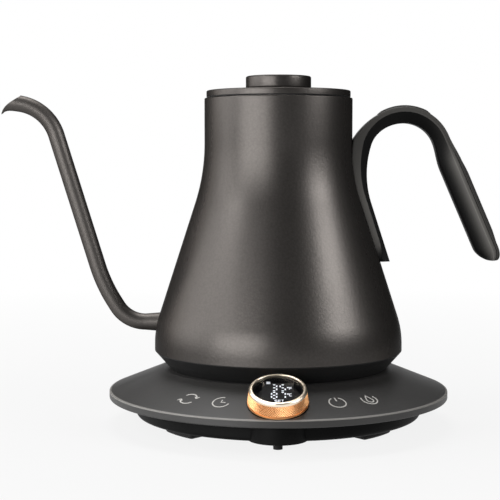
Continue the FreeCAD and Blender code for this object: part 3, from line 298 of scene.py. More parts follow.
# Base electronics: power and control boards with their relay, transformer, capacitors and buzzer.
# Fibreglass boards with tracks under a green mask; the devices are cased in black and white plastic.
device_case = moulded("device_case", shade(46, 46, 50), 0.45, grain=0.5 * MM, depth=0.02 * MM)
white_moulding = moulded("white_moulding", shade(222, 220, 212), 0.5, grain=0.4 * MM, depth=0.015 * MM)


def printed_board():
    """Green circuit board: fine parallel tracks that show through the mask."""
    finish = Finish("printed_board", {"Specular IOR Level": 0.5})
    spot = finish.spot()
    tracks = finish.node("ShaderNodeTexBrick", {"offset": 0.5}, {
        "Vector": spot, "Scale": 160.0, "Mortar Size": 0.06, "Mortar Smooth": 0.2,
        "Color1": (0.0, 0.0, 0.0, 1.0), "Color2": (0.15, 0.15, 0.15, 1.0), "Mortar": (1.0, 1.0, 1.0, 1.0),
    })
    finish.wire("Base Color", finish.mix(tracks, shade(22, 74, 44), shade(60, 122, 74)))
    finish.wire("Roughness", 0.35 + 0.1 * finish.noise(spot, 3 * MM))
    return finish


def brushed(name, colour, roughness, stretch=(1.0, 1.0, 40.0)):
    """Plain worked metal: fine streaks in colour and sheen, packed closest where stretch is largest."""
    finish = Finish(name, {"Metallic": 1.0})
    drawn = finish.node("ShaderNodeMapping", values={"Vector": finish.spot(), "Scale": stretch})
    streaks = finish.noise(drawn, 6 * MM, detail=5.0)
    finish.wire("Base Color", finish.mix(streaks, dimmed(colour, 0.8), colour))
    finish.wire("Roughness", roughness - 0.08 + 0.16 * streaks)
    finish.bump(streaks, 0.004 * MM)
    return finish


steel = brushed("bright_steel", shade(196, 196, 194), 0.3)
dress(printed_board(), "power_board", "control_board", "touch_boards")
dress(device_case, "relay", "transformer", "capacitors", "buzzer")
dress(white_moulding, "terminal_block")
dress(steel, "tray_screws", "touch_springs")

# Base cover: a shallow cone with a round seat for the kettle and a well for the dial.
# Satin black plastic with a barely visible grain and a painted highlight along its rim; the tray closes it
# from below.
RIM_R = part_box("base_cover")[1].x
RIM_Z = 20.3 * MM
RIM_HIGHLIGHT_WIDE = 1.1 * MM
RIM_HIGHLIGHT_DROP = 0.4 * MM


def cone_plastic():
    """Satin plastic of the cover, with a fine painted highlight along its rim."""
    finish, pebbles, clouds = grained("base_black", gloss=0.5, grain=0.3 * MM, depth=0.006 * MM)
    spot = finish.spot()
    flat = finish.node("ShaderNodeVectorMath", {"operation": "MULTIPLY"}, {0: spot, 1: (1.0, 1.0, 0.0)})
    out = finish.node("ShaderNodeVectorMath", {"operation": "LENGTH"}, {0: flat}, out="Value")
    height = finish.node("ShaderNodeSeparateXYZ", values={0: spot}, out="Z")
    # Painted highlight: a light line on the outer edge of the cone, where its rim would catch the light.
    line = out.math("GREATER_THAN", out, RIM_R - RIM_HIGHLIGHT_WIDE)
    line = line * height.math("GREATER_THAN", height, RIM_Z - RIM_HIGHLIGHT_DROP)
    satin = finish.mix(0.55 * clouds + 0.45 * pebbles, shade(31, 30, 29), shade(36, 35, 34))
    finish.wire("Base Color", finish.mix(line, satin, shade(100, 98, 95)))
    finish.wire("Roughness", 0.44 + 0.1 * clouds)
    return finish


dress(cone_plastic(), "base_cover")

# Touch keys: four icons over the touch springs, two each side of the dial.
# Silver-grey ink printed on the cone, each icon upright when read from the rim.
CONE_SLOPE = math.radians(22.0)
ICON_RING = 86.4 * MM
ICON_R = 4.7 * MM
ICON_LINE = 0.75 * MM
INK_THICK = 0.05 * MM
DIAL_BEARING = 270
ARROW = 0.27 * ICON_R
ARROW_TIP = Vector((0.1, -0.75)) * ARROW
ARROW_BARBS = (Vector((-1.2, 0.55)) * ARROW, Vector((1.25, 0.5)) * ARROW)
DROP_R = 0.42 * ICON_R
DROP_LOW = 0.2 * ICON_R
DROP_TIP = (0.0, 0.85 * ICON_R)


def arc(radius, start, stop, centre=(0.0, 0.0), steps=24):
    """Points along an arc, in degrees."""
    turns = [math.radians(between(start, stop, share)) for share in shares(steps)]
    return [Vector((centre[0] + radius * math.cos(t), centre[1] + radius * math.sin(t))) for t in turns]


def heading(line, i):
    """The way that a line runs at one of its points."""
    return (line[min(i + 1, len(line) - 1)] - line[max(i - 1, 0)]).normalized()


def ribbons(lines, width):
    """Flat strips of one width along lines: their points in pairs, and the faces between the pairs."""
    points = []
    faces = []
    for line in lines:
        line = [Vector(spot) for spot in line]
        first = len(points)
        for i, spot in enumerate(line):
            along = heading(line, i)
            across = Vector((-along.y, along.x)) * width / 2
            points += [spot + across, spot - across]
        for i in range(len(line) - 1):
            k = first + 2 * i
            faces.append((k, k + 1, k + 3, k + 2))
    return points, faces


def on_cone(middle):
    """Lays a drawing on the cone, centred on that bearing, with its top towards the kettle."""
    def place(spot, proud):
        radius = ICON_RING - spot.y * math.cos(CONE_SLOPE) + proud * math.sin(CONE_SLOPE)
        rise = (RIM_R - radius) * math.tan(CONE_SLOPE) + proud / math.cos(CONE_SLOPE)
        return polar(radius, middle + math.degrees(spot.x / ICON_RING), RIM_Z + rise)
    return place


restart = [arc(ICON_R, 145, 25), arc(ICON_R, 325, 205)]
for curve, way in zip(restart[:], (1, -1)):
    for barb in ARROW_BARBS:
        restart.append([curve[-1] + barb * way, curve[-1] + ARROW_TIP * way])
clock = [arc(ICON_R, 82, 350), [(0.0, 0.5 * ICON_R), (0.0, 0.0), (0.55 * ICON_R, 0.0)]]
power = [arc(ICON_R, 116, 424), [(0.0, 1.05 * ICON_R), (0.0, 0.3 * ICON_R)]]
drop = [DROP_TIP] + arc(DROP_R, 150, 390, centre=(0.0, -DROP_LOW)) + [DROP_TIP]
warmth = [arc(ICON_R, 150, 390), drop]
ink = moulded("key_ink", shade(158, 156, 152), 0.45, grain=0.2 * MM, depth=0.004 * MM)
for name, aside, lines in (
    ("restart_icon", -34.6, restart), ("clock_icon", -20.9, clock),
    ("power_icon", 21.9, power), ("warmth_icon", 35.3, warmth),
):
    place = on_cone(DIAL_BEARING + aside)
    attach(slab(name, *ribbons(lines, ICON_LINE), place, ink, INK_THICK), "base")

# Socket: the lower half of the connector, a round post with two contact rings that the kettle turns on.
# Black heat-proof plastic with brass rings, held by four screws from inside the base.
brass = brushed("contact_brass", shade(214, 184, 118), 0.28)
black_moulding = moulded("black_plastic", shade(22, 22, 22), 0.5, grain=0.35 * MM, depth=0.02 * MM, gloss=0.2)
dress(black_moulding, "base_socket", "dial_housing")
dress(brass, "socket_contacts")
dress(steel, "socket_screws")
dress(device_case, "press_switch", "switch_plunger")

# Dial core: the pressed part inside the ring, with the light block behind the window.
# Black plastic on a sprung stem, with a black board; the lit segments of two rows show through the glass.
dial_joint = next(joint for joint in frame["joints"] if joint["name"] == "dial_turn")
DIAL_UP = Vector(dial_joint["axis"])
SEAT_UNDER_JOINT = 5.0 * MM
DIAL_SEAT = Vector(dial_joint["pos_m"]) - DIAL_UP * SEAT_UNDER_JOINT
dial_side = Vector((1, 0, 0))
dial_place = Matrix((dial_side, DIAL_UP.cross(dial_side), DIAL_UP)).transposed().to_4x4()
dial_place.translation = DIAL_SEAT
LIGHT_TOP = 7.0 * MM
DIGIT_WIDE = 2.7 * MM
DIGIT_TALL = 6.0 * MM
DIGIT_STEP = 4.6 * MM
SEGMENT_LINE = 0.75 * MM
SEGMENT_GAP = 0.75 * MM
DIGIT_LEFT = -3.4 * MM
ROW_LOWS = {"35": 0.9 * MM, "87": -6.6 * MM}
WORD_LEFT = -1.6 * MM
WORD_LOW = -10.0 * MM
WORD_STEP = 1.75 * MM
WORD_WIDE = 1.15 * MM
WORD_TALL = 1.9 * MM
UNIT_LEFT = 6.1 * MM
UNIT_LOWS = {"F": 2.2 * MM, "C": -4.2 * MM}
UNIT_WIDE = 1.2 * MM
UNIT_TALL = 2.2 * MM
DEGREE_LEFT = 5.3 * MM
DEGREE_RISE = 2.0 * MM
DEGREE_R = 0.35 * MM
BARS = 3
BAR_ENDS = (-6.3 * MM, -4.2 * MM)
BAR_LOW = 8.0 * MM
BAR_STEP = 0.8 * MM
MARK_LINE = 0.34 * MM
LIT = {"3": "abcdg", "5": "acdfg", "8": "abcdefg", "7": "abc", "S": "acdfg", "E": "adefg", "T": "ahi",
       "F": "aefg", "C": "adef"}


def segments(letter, left, low, wide, tall, gap=0.0):
    """The lit segments of one figure as short lines, in the usual seven places and a middle pair."""
    right, top, middle = left + wide, low + tall, low + tall / 2
    centre = left + wide / 2
    lines = {
        "a": [(left + gap, top), (right - gap, top)], "d": [(left + gap, low), (right - gap, low)],
        "g": [(left + gap, middle), (right - gap, middle)],
        "b": [(right, middle + gap), (right, top - gap)], "c": [(right, low + gap), (right, middle - gap)],
        "f": [(left, middle + gap), (left, top - gap)], "e": [(left, low + gap), (left, middle - gap)],
        "h": [(centre, middle), (centre, top)], "i": [(centre, low), (centre, middle)],
    }
    return [lines[name] for name in LIT[letter]]


def glowing(name, colour, strength):
    """Light that comes through a moulded diffuser, a little uneven."""
    finish = Finish(name, {"Roughness": 0.5, "Emission Strength": strength})
    clouds = finish.noise(finish.spot(), 1.2 * MM)
    finish.wire("Base Color", finish.mix(clouds, shade(210, 214, 220), shade(240, 242, 246)))
    finish.wire("Emission Color", finish.mix(clouds, dimmed(colour, 0.8), colour))
    return finish


def on_dial(height):
    """Lays a drawing square to the dial's axis at that height over the cone."""
    return lambda spot, proud: dial_place @ Vector((spot.x, spot.y, height + proud))


display_light = glowing("display_light", shade(236, 240, 250), 0.9)
figures = []
for row, low in ROW_LOWS.items():
    for k, letter in enumerate(row):
        figures += segments(letter, DIGIT_LEFT + k * DIGIT_STEP, low, DIGIT_WIDE, DIGIT_TALL, SEGMENT_GAP)
marks = []
for k, letter in enumerate("SET"):
    marks += segments(letter, WORD_LEFT + k * WORD_STEP, WORD_LOW, WORD_WIDE, WORD_TALL)
for letter, low in UNIT_LOWS.items():
    marks += segments(letter, UNIT_LEFT, low, UNIT_WIDE, UNIT_TALL)
    marks.append(arc(DEGREE_R, 0, 360, centre=(DEGREE_LEFT, low + DEGREE_RISE), steps=12))
for k in range(BARS):
    marks.append([(end, BAR_LOW + k * BAR_STEP) for end in BAR_ENDS])
for name, lines, width in (("display_figures", figures, SEGMENT_LINE), ("display_marks", marks, MARK_LINE)):
    drawing = slab(name, *ribbons(lines, width), on_dial(LIGHT_TOP), display_light, INK_THICK)
    seat(drawing, "dial_button", "light_block")
light_block = moulded("light_block", shade(10, 10, 11), 0.4, grain=0.5 * MM, depth=0.01 * MM)
dress(light_block, "led_display", "dial_core", "display_board")
dress(steel, "stem_clip")

# Display window: a round pane with a ground edge, let into the dial core.
# Lightly smoked glass, polished; the light block behind it is black, so only what is lit shows.
WINDOW_R = 13.35 * MM
WINDOW_LOW = 7.15 * MM
WINDOW_TOP = 8.65 * MM
WINDOW_EDGE = 0.35 * MM


def rounded(corners, steps=6, closed=True):
    """An outline from corners (across, up) or (across, up, radius), with its round corners as arcs."""
    line = []
    count = len(corners)
    for i, corner in enumerate(corners):
        spot = Vector(corner[:2])
        if len(corner) < 3 or (not closed and i in (0, count - 1)):
            line.append(spot)
            continue
        back = (Vector(corners[i - 1][:2]) - spot).normalized()
        ahead = (Vector(corners[(i + 1) % count][:2]) - spot).normalized()
        half = back.angle(ahead) / 2
        middle = spot + (back + ahead).normalized() * (corner[2] / math.sin(half))
        start = spot + back * (corner[2] / math.tan(half)) - middle
        sweep = (math.pi - 2 * half) * (1 if back.cross(ahead) < 0 else -1)
        for share in shares(steps):
            line.append(middle + Matrix.Rotation(sweep * share, 2) @ start)
    return line


def skinned(name, rings, finish, looped=False, crease=32.0, painted_shades=()):
    """A piece drawn over rings of points: closed on itself, or capped at both ends."""
    count = len(rings[0])
    points = [spot for ring in rings for spot in ring]
    faces = []
    for k in range(len(rings) if looped else len(rings) - 1):
        here, there = k * count, (k + 1) % len(rings) * count
        for i in range(count):
            j = (i + 1) % count
            faces.append((here + i, here + j, there + j, there + i))
    if not looped:
        faces.append(tuple(range(count)))
        faces.append(tuple(range((len(rings) - 1) * count, len(rings) * count)))
    return solid(name, points, faces, finish, crease, painted_shades)


def spun(name, outline, finish, steps=128, place=Matrix.Identity(4)):
    """A turned piece: a closed outline of (radius, height) points carried once round an axis."""
    rings = []
    for share in shares(steps)[:-1]:
        turn = Matrix.Rotation(2 * math.pi * share, 3, "Z")
        rings.append([place @ (turn @ Vector((spot[0], 0.0, spot[1]))) for spot in outline])
    return skinned(name, rings, finish, looped=True)


def tinted_glass():
    """Smoked pane: a thin dark tint, polished, with faint smears in the gloss."""
    finish = Finish("smoked_glass", {"Alpha": 0.16, "Specular IOR Level": 0.3})
    smears = finish.noise(finish.spot(), 7 * MM, detail=4.0)
    finish.wire("Base Color", finish.mix(smears, shade(6, 6, 7), shade(15, 15, 17)))
    finish.wire("Roughness", 0.05 + 0.1 * smears)
    return finish


window = spun("window_pane", rounded([
    (0.0, WINDOW_LOW), (WINDOW_R, WINDOW_LOW), (WINDOW_R, WINDOW_TOP, WINDOW_EDGE), (0.0, WINDOW_TOP),
]), tinted_glass(), place=dial_place)
seat(window, "dial_button", "display_glass", "dial_window")

# Dial ring: the turning grip round the window, snapped over the core.
# Turned aluminium anodised gold, with a polished lip and a side rolled with rows of small diamonds.
RING_TALL = 9.2 * MM
RING_FOOT_R = 16.7 * MM
RING_TOP_R = 15.4 * MM
RING_LIP_R = 13.7 * MM
RING_BORE_R = 14.6 * MM
RING_LIP_UNDER = 7.2 * MM
KNURL_LOW = 0.9 * MM
KNURL_TOP = 7.2 * MM
KNURL_ROWS = 8
KNURL_COLUMNS = 80
KNURL_DEEP = 0.45 * MM
RING_CLEAR = 0.1 * MM
RING_FOOT_EDGE = 0.15 * MM
RING_STEP_EDGE = 0.1 * MM
RING_TOP_EDGE = 1.1 * MM
RING_LIP_EDGE = 0.35 * MM
POLISHED_FROM = KNURL_TOP + 0.3 * MM
ring_taper = (RING_FOOT_R - RING_TOP_R) / RING_TALL


def ring_side(height, under=0.0):
    """The ring's outer radius at a height, less a depth under its face."""
    return RING_FOOT_R - height * ring_taper - under


def anodised(name, darker, lighter, roughness):
    """Anodised aluminium: warm metal, faintly clouded, with a very fine grain."""
    finish = Finish(name, {"Metallic": 1.0})
    spot = finish.spot()
    clouds = finish.noise(spot, 4 * MM, detail=3.0)
    specks = finish.noise(spot, 0.2 * MM)
    finish.wire("Base Color", finish.mix(clouds, darker, lighter))
    finish.wire("Roughness", roughness + 0.1 * specks)
    finish.bump(specks, 0.003 * MM)
    return finish


gold = anodised("anodised_gold", shade(200, 146, 98), shade(214, 164, 116), 0.36)
pale_gold = anodised("polished_lip", shade(246, 228, 204), shade(252, 238, 216), 0.26)
ring = spun("dial_grip", rounded([
    (RING_BORE_R, RING_CLEAR), (ring_side(RING_CLEAR), RING_CLEAR, RING_FOOT_EDGE),
    (ring_side(KNURL_LOW), KNURL_LOW), (ring_side(KNURL_LOW, KNURL_DEEP), KNURL_LOW),
    (ring_side(KNURL_TOP, KNURL_DEEP), KNURL_TOP), (ring_side(KNURL_TOP), KNURL_TOP, RING_STEP_EDGE),
    (RING_TOP_R, RING_TALL, RING_TOP_EDGE), (RING_LIP_R, RING_TALL, RING_LIP_EDGE),
    (RING_LIP_R, RING_LIP_UNDER), (RING_BORE_R, RING_LIP_UNDER),
]), gold, place=dial_place)
ring.data.materials.append(pale_gold.material)
from_dial = dial_place.inverted()
for face in ring.data.polygons:
    face.material_index = 1 if (from_dial @ face.center).z > POLISHED_FROM else 0
seat(ring, "dial_turner", "rose_gold", "dial_ring")


def knurl_tree():
    """Rows of four-sided points round a cone, every second row half a step on."""
    group = bpy.data.node_groups.new("knurl", "GeometryNodeTree")
    sizes = ("Foot radius", "Taper", "Low", "Row step", "Half width", "Deep")
    for name in ("Rows", "Columns"):
        group.interface.new_socket(name, in_out="INPUT", socket_type="NodeSocketInt")
    for name in sizes:
        group.interface.new_socket(name, in_out="INPUT", socket_type="NodeSocketFloat")
    group.interface.new_socket("Finish", in_out="INPUT", socket_type="NodeSocketMaterial")
    group.interface.new_socket("Geometry", in_out="OUTPUT", socket_type="NodeSocketGeometry")
    tree = Tree(group)
    given = tree.node("NodeGroupInput").socket.node
    take = {name: Wire(tree, given.outputs[name]) for name in (*sizes, "Rows", "Columns", "Finish")}
    index = tree.node("GeometryNodeInputIndex")
    row = index.math("FLOOR", index / take["Columns"])
    turn = (index - row * take["Columns"] + 0.5 * (row % 2.0)) * (2 * math.pi) / take["Columns"]
    height = take["Low"] + (row + 1.0) * take["Row step"]
    radius = take["Foot radius"] - height * take["Taper"]
    across = {"X": radius * turn.math("COSINE", turn), "Y": radius * turn.math("SINE", turn), "Z": height}
    spots = tree.node("GeometryNodePoints", values={
        "Count": take["Rows"] * take["Columns"],
        "Position": tree.node("ShaderNodeCombineXYZ", values=across),
    })
    point = tree.node("GeometryNodeMeshCone", {"fill_type": "NONE"}, {
        "Vertices": 4, "Radius Top": 0.12, "Radius Bottom": 1.0, "Depth": 1.0,
    })
    facing = tree.node("FunctionNodeEulerToRotation", values={
        "Euler": tree.node("ShaderNodeCombineXYZ", values={"Y": math.pi / 2, "Z": turn}),
    })
    spread = tree.node("ShaderNodeCombineXYZ", values={
        "X": take["Row step"], "Y": take["Half width"], "Z": take["Deep"],
    })
    placed = tree.node("GeometryNodeInstanceOnPoints", values={
        "Points": spots, "Instance": point, "Rotation": facing, "Scale": spread,
    })
    whole = tree.node("GeometryNodeRealizeInstances", values={"Geometry": placed})
    done = tree.node("GeometryNodeSetMaterial", values={"Geometry": whole, "Material": take["Finish"]})
    tree.feed(group.nodes.new("NodeGroupOutput").inputs["Geometry"], done)
    return group


knurl_rows = put("dial_knurl", bpy.data.meshes.new("dial_knurl"))
rolled = knurl_rows.modifiers.new("knurl", "NODES")
rolled.node_group = knurl_tree()
row_step = (KNURL_TOP - KNURL_LOW) / (KNURL_ROWS + 1)
knurl_sizes = {
    "Rows": KNURL_ROWS, "Columns": KNURL_COLUMNS, "Finish": gold.material,
    "Foot radius": RING_FOOT_R - KNURL_DEEP, "Taper": ring_taper, "Low": KNURL_LOW, "Row step": row_step,
    "Half width": math.pi * RING_FOOT_R / KNURL_COLUMNS, "Deep": KNURL_DEEP,
}
for item in rolled.node_group.interface.items_tree:
    if item.name in knurl_sizes:
        rolled[item.identifier] = knurl_sizes[item.name]
settle(knurl_rows)
# The first slot is the empty one of the mesh that the rows grew on.
knurl_rows.data.materials.pop(index=0)
knurl_rows.data.transform(dial_place)
seat(knurl_rows, "dial_turner", "rose_gold")
dress(steel, "magnet_ring")

# Kettle bottom: the moulded cup under the shell, with the heater, its cut-outs and the upper connector.
# Black heat-proof plastic on three studs; the heater is brazed to an alloy plate under the steel floor.
alloy = brushed("alloy", shade(176, 176, 174), 0.42, stretch=(1.0, 1.0, 1.0))
silicone = moulded("silicone", shade(150, 150, 148), 0.6, grain=0.3 * MM, depth=0.01 * MM)
dress(black_moulding, "bottom_cup")
dress(alloy, "heat_plate")
dress(steel, "boiler_floor", "floor_studs", "cup_screws", "ntc_probe", "heater_ring", "heater_pins")
dress(device_case, "thermal_cutouts")
dress(white_moulding, "kettle_connector")
dress(brass, "connector_contacts")
dress(rubber, "hem_gasket")
dress(silicone, "probe_seal")

# Kettle shell: a bell with a straight neck and a turned-in mouth.
# Spun steel, bare and brushed inside, powder-coated gunmetal with a fine leather grain outside.
shell_low, shell_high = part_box("kettle_shell")
FOOT_R = shell_high.x
NECK_R = 44.0 * MM
HIP_Z = shell_low.z + 12.2 * MM
KNEE_Z = shell_high.z - 44.7 * MM
HIP_ROUND = 55.2 * MM
KNEE_ROUND = 116.7 * MM
SHELL_WALL = 1.0 * MM
MOUTH_R = 39.5 * MM
LIP_THICK = 1.2 * MM
MOUTH_OUTER_EDGE = 0.8 * MM
MOUTH_INNER_EDGE = 0.4 * MM
PEBBLE_SIZE = 1.3 * MM
SPOUT_Z = 59.8 * MM
SPOUT_R = 4.9 * MM
DRILL_FROM = 60.0 * MM
DRILL_TO = 90.0 * MM


def warm(level):
    """A grey of that screen level with a touch of brown."""
    return shade(level, 0.96 * level, 0.93 * level)


def coated(name, level, roughness, relief):
    """Gunmetal powder coat: metal flake in a dark skin with a pebbled, leather-like grain."""
    finish = Finish(name, {
        "Metallic": 0.85, "Specular IOR Level": 0.2, "Specular Tint": shade(80, 79, 78),
    })
    spot = finish.spot()
    pebbles = finish.node("ShaderNodeTexVoronoi", {"feature": "SMOOTH_F1"}, {
        "Vector": spot, "Scale": 1 / PEBBLE_SIZE, "Smoothness": 0.6,
    }, out="Distance")
    flake = finish.noise(spot, 0.3 * MM, detail=1.0)
    clouds = finish.noise(spot, 28 * MM)
    skin = finish.mix(pebbles, warm(level), warm(level - 10))
    finish.wire("Base Color", finish.mix(0.3 * flake, skin, warm(level + 18)))
    finish.wire("Roughness", roughness + 0.04 * clouds + 0.06 * flake)
    finish.bump(pebbles, relief)
    return finish


gunmetal = coated("gunmetal_skin", 70, 0.32, 0.028 * MM)
bell = rounded([
    (FOOT_R, shell_low.z), (FOOT_R, HIP_Z, HIP_ROUND), (NECK_R, KNEE_Z, KNEE_ROUND),
    (NECK_R, shell_high.z, MOUTH_OUTER_EDGE), (MOUTH_R, shell_high.z, MOUTH_INNER_EDGE),
    (MOUTH_R, shell_high.z - LIP_THICK), (NECK_R - SHELL_WALL, shell_high.z - LIP_THICK),
    (NECK_R - SHELL_WALL, KNEE_Z, KNEE_ROUND + SHELL_WALL),
    (FOOT_R - SHELL_WALL, HIP_Z, HIP_ROUND - SHELL_WALL), (FOOT_R - SHELL_WALL, shell_low.z),
], steps=10)


def bell_radius(height):
    """The outside radius of the shell at a height."""
    for below, above in zip(bell, bell[1:]):
        if below.y <= height <= above.y and above.y > below.y:
            return below.x + (above.x - below.x) * (height - below.y) / (above.y - below.y)
    return FOOT_R if height < shell_low.z else NECK_R


shell = spun("kettle_bell", bell, gunmetal, steps=160)
drill_place = Matrix.Translation((0, 0, SPOUT_Z)) @ Matrix.Rotation(-math.pi / 2, 4, "Y")
drill = spun("spout_drill", [
    (0.0, DRILL_FROM), (SPOUT_R, DRILL_FROM), (SPOUT_R, DRILL_TO), (0.0, DRILL_TO),
], gunmetal, steps=40, place=drill_place)
hole = shell.modifiers.new("spout_hole", "BOOLEAN")
hole.object = drill
settle(shell)
bpy.data.objects.remove(drill)
shell.data.materials.append(steel.material)
for face in shell.data.polygons:
    bare = math.hypot(face.center.x, face.center.y) < bell_radius(face.center.z) - SHELL_WALL / 2
    face.material_index = 1 if bare and face.center.z < shell_high.z - LIP_THICK / 2 else 0
seat(shell, "kettle", "gunmetal_coat", "kettle_shell")

# Spout: a gooseneck that leaves low on the shell, rises and bends over to a slanted beak.
# Drawn steel tube with a turned-down lip, welded into the shell and coated with it, its coat painted lighter
# than the shell's as painted light on its highlight.
SPOUT_WALL = 0.8 * MM
SPOUT_WELD = 0.7 * MM
WELD_FROM = 74.0 * MM
WELD_FADE = 1.2 * MM
SPOUT_SIDES = 40
BEAK_STEPS = 16
BEAK_BACK = 14.0 * MM
BEAK_FALL = 9.3 * MM
BEAK_LEAST = 0.02 * MM
LIP_DROOP = 3.0 * MM
spout_line = rounded([
    (71.0 * MM, SPOUT_Z), (91.0 * MM, SPOUT_Z, 20.0 * MM), (105.1 * MM, 82.4 * MM, 91.0 * MM),
    (137.8 * MM, 188.3 * MM, 27.0 * MM), (167.8 * MM, 192.5 * MM),
], steps=18, closed=False)
beak_way = (spout_line[-1] - spout_line[-2]).normalized()
beak_up = Vector((-beak_way.y, beak_way.x))
beak_top = spout_line[-1] - beak_way * BEAK_BACK + beak_up * SPOUT_R
beak_cut = Vector((BEAK_FALL, BEAK_BACK)).normalized()


def spout_rings(radius):
    """Rings along the tube at a radius, from the shell to the slanted cut."""
    turns = [2 * math.pi * share for share in shares(SPOUT_SIDES)[:-1]]
    rings = []
    line = spout_line[:-1]
    for i, spot in enumerate(line):
        along = heading(line, i)
        up = Vector((-along.y, along.x))
        wide = radius
        if radius == SPOUT_R:
            wide += SPOUT_WELD * math.exp(-max(0.0, spot.x - WELD_FROM) / WELD_FADE)
        rings.append([(spot + up * (wide * math.cos(turn)), wide * math.sin(turn)) for turn in turns])
    last = rings[-1]
    slope = beak_way.dot(beak_cut)
    reaches = [max(BEAK_LEAST, (beak_top - spot).dot(beak_cut) / slope) for spot, side in last]
    for share in shares(BEAK_STEPS, first=1):
        ring = []
        for (spot, side), reach, turn in zip(last, reaches, turns):
            droop = LIP_DROOP * (reach * share / max(reaches)) ** 4 * max(0.0, -math.cos(turn))
            ring.append((spot + beak_way * (reach * share) - Vector((0.0, droop)), side))
        rings.append(ring)
    return [[Vector((-spot.x, side, spot.y)) for spot, side in ring] for ring in rings]


tube = spout_rings(SPOUT_R) + spout_rings(SPOUT_R - SPOUT_WALL)[::-1]
# The spout's coat is painted lighter than the shell's, as painted light that lifts its highlight.
spout_skin_painted_lighter = coated("spout_skin_painted_lighter", 84, 0.43, 0.006 * MM)
seat(skinned("spout_tube", tube, spout_skin_painted_lighter, looped=True), "kettle", "gunmetal_coat", "spout")

# Handle: a strap on the shell wall that runs up into an arch and a free hanging grip.
# Black glass-filled plastic, flat-sided with a chamfered inner face, held by two screws through the wall.
ARCH_X = NECK_R + 30.3 * MM
ARCH_Z = shell_high.z - 33.5 * MM
ARCH_R = 23.4 * MM
ARCH_HALF = 4.8 * MM
BEND_R = 60.0 * MM
BEND_INNER = 3.3 * MM
STRAP_FOOT_Z = shell_high.z - 96.7 * MM
STRAP_HALF = 2.6 * MM
STRAP_SINK = 1.2 * MM
STRAP_FLAT = 7.0 * MM
GRIP_HALF = 7.0 * MM
GRIP_LONG = 78.6 * MM
GRIP_LEAN = math.radians(23.4)
GRIP_SWELL = 17.0 * MM
GRIP_NOSE = 9.0 * MM
GRIP_FLAT = 4.75 * MM
GRIP_SLANT = 0.36
SLANT_LONG = 22.0 * MM
NOSE_TURN = math.radians(82)
NOSE_BLUNT = 0.3
HANDLE_HALF = 9.5 * MM
WALL_NEAR = NECK_R + 30.0 * MM
PAD_THICK = 0.9 * MM
FADE_LONG = 12.0 * MM
LEAD_TURN = math.radians(46)
INNER_LEAD = 2.2
GROOVE_IN = 1.9 * MM
GROOVE_DEEP = 0.3 * MM
BACK_ROUND = 0.8 * MM
CREASE_ROUNDS = (0.5 * MM, 1.0 * MM)
INNER_ROUNDS = (1.0 * MM, 3.4 * MM)
STRAP_FOOT_CREASE = -1.5 * MM
STRAP_CREASE = 0.3 * MM
ARCH_CREASE = -1.8 * MM
GRIP_CREASE = -2.1 * MM
STRAP_RINGS = 14
BEND_RINGS = 16
ARCH_RINGS = 40
SWELL_RINGS = 8
GRIP_RINGS = 12
NOSE_RINGS = 12
# How much paler the strap and bend are painted, as painted light where the shell shades them.
STRAP_PAINTED_PALER = 0.55
ARCH_RIDGE_HIGHLIGHT = 0.3
ARCH_SOFT = 0.5
flare = math.atan((FOOT_R - NECK_R) / (KNEE_Z - HIP_Z))
wall_up = Vector((-math.sin(flare), math.cos(flare)))
wall_out = Vector((math.cos(flare), math.sin(flare)))
arch_mid = Vector((ARCH_X, ARCH_Z))
strap_spot = Vector((NECK_R, KNEE_Z)) + wall_out * STRAP_HALF
swing = math.acos((BEND_R - (arch_mid - strap_spot).dot(wall_out)) / (BEND_R - ARCH_R))
bend_turn = math.pi + flare - swing
bend_mid = arch_mid + Vector((math.cos(flare - swing), math.sin(flare - swing))) * (BEND_R - ARCH_R)
strap_end = bend_mid - wall_out * BEND_R
strap_start = strap_end - wall_up * ((strap_end.y - STRAP_FOOT_Z) / wall_up.y)
strap_long = (strap_end - strap_start).length
grip_way = Vector((math.sin(GRIP_LEAN), -math.cos(GRIP_LEAN)))
back_way = Vector((math.cos(GRIP_LEAN), math.sin(GRIP_LEAN)))
grip_top = arch_mid + back_way * ARCH_R
grip_back = GRIP_HALF - PAD_THICK
grip_straight = GRIP_LONG - GRIP_NOSE
wall_reach = ARCH_X - ARCH_R - NECK_R + STRAP_SINK
strap_reach = STRAP_HALF + STRAP_SINK


def ease(share):
    """A share of a change that starts and ends gently."""
    return share * share * (3 - 2 * share)


def handle_ring(spot, along, outer, crease, inner, flat=GRIP_FLAT, half=HANDLE_HALF, groove=0.0, soft=0.0):
    """One ring across the handle: flat sides, a crease, and chamfers down to the inner face."""
    inward = Vector((along.y, -along.x))
    line = GROOVE_IN - outer
    side = [
        (-outer, half, BACK_ROUND),
        (line - GROOVE_DEEP, half), (line, half - groove), (line + GROOVE_DEEP, half),
        (crease, half, between(*CREASE_ROUNDS, soft)), (inner, flat, between(*INNER_ROUNDS, soft)),
    ]
    corners = [(depth, -across, *radius) for depth, across, *radius in side] + side[::-1]
    ring = []
    for depth, across in rounded(corners, steps=4):
        place = spot + inward * depth
        if place.x < WALL_NEAR:
            reach = math.sqrt(max(0.0, bell_radius(place.y) ** 2 - across ** 2))
            place = Vector((max(place.x, reach), place.y))
        ring.append(Vector((place.x, across, place.y)))
    return ring


def on_turn(middle, radius, turn):
    """A spot on a bend of the handle's centre line, and the way that the line runs there."""
    out = Vector((math.cos(turn), math.sin(turn)))
    return middle + out * radius, Vector((out.y, -out.x))


def slanted(ring, down):
    """Shears a ring near the grip's end, so that its back reaches further down than its front."""
    slant = GRIP_SLANT * ease(max(0.0, (down - GRIP_LONG + SLANT_LONG) / SLANT_LONG))
    middle = grip_top + grip_way * down
    moved = []
    for point in ring:
        depth = (middle - Vector((point.x, point.z))).dot(back_way)
        moved.append(point - Vector((grip_way.x, 0.0, grip_way.y)) * depth * slant)
    return moved


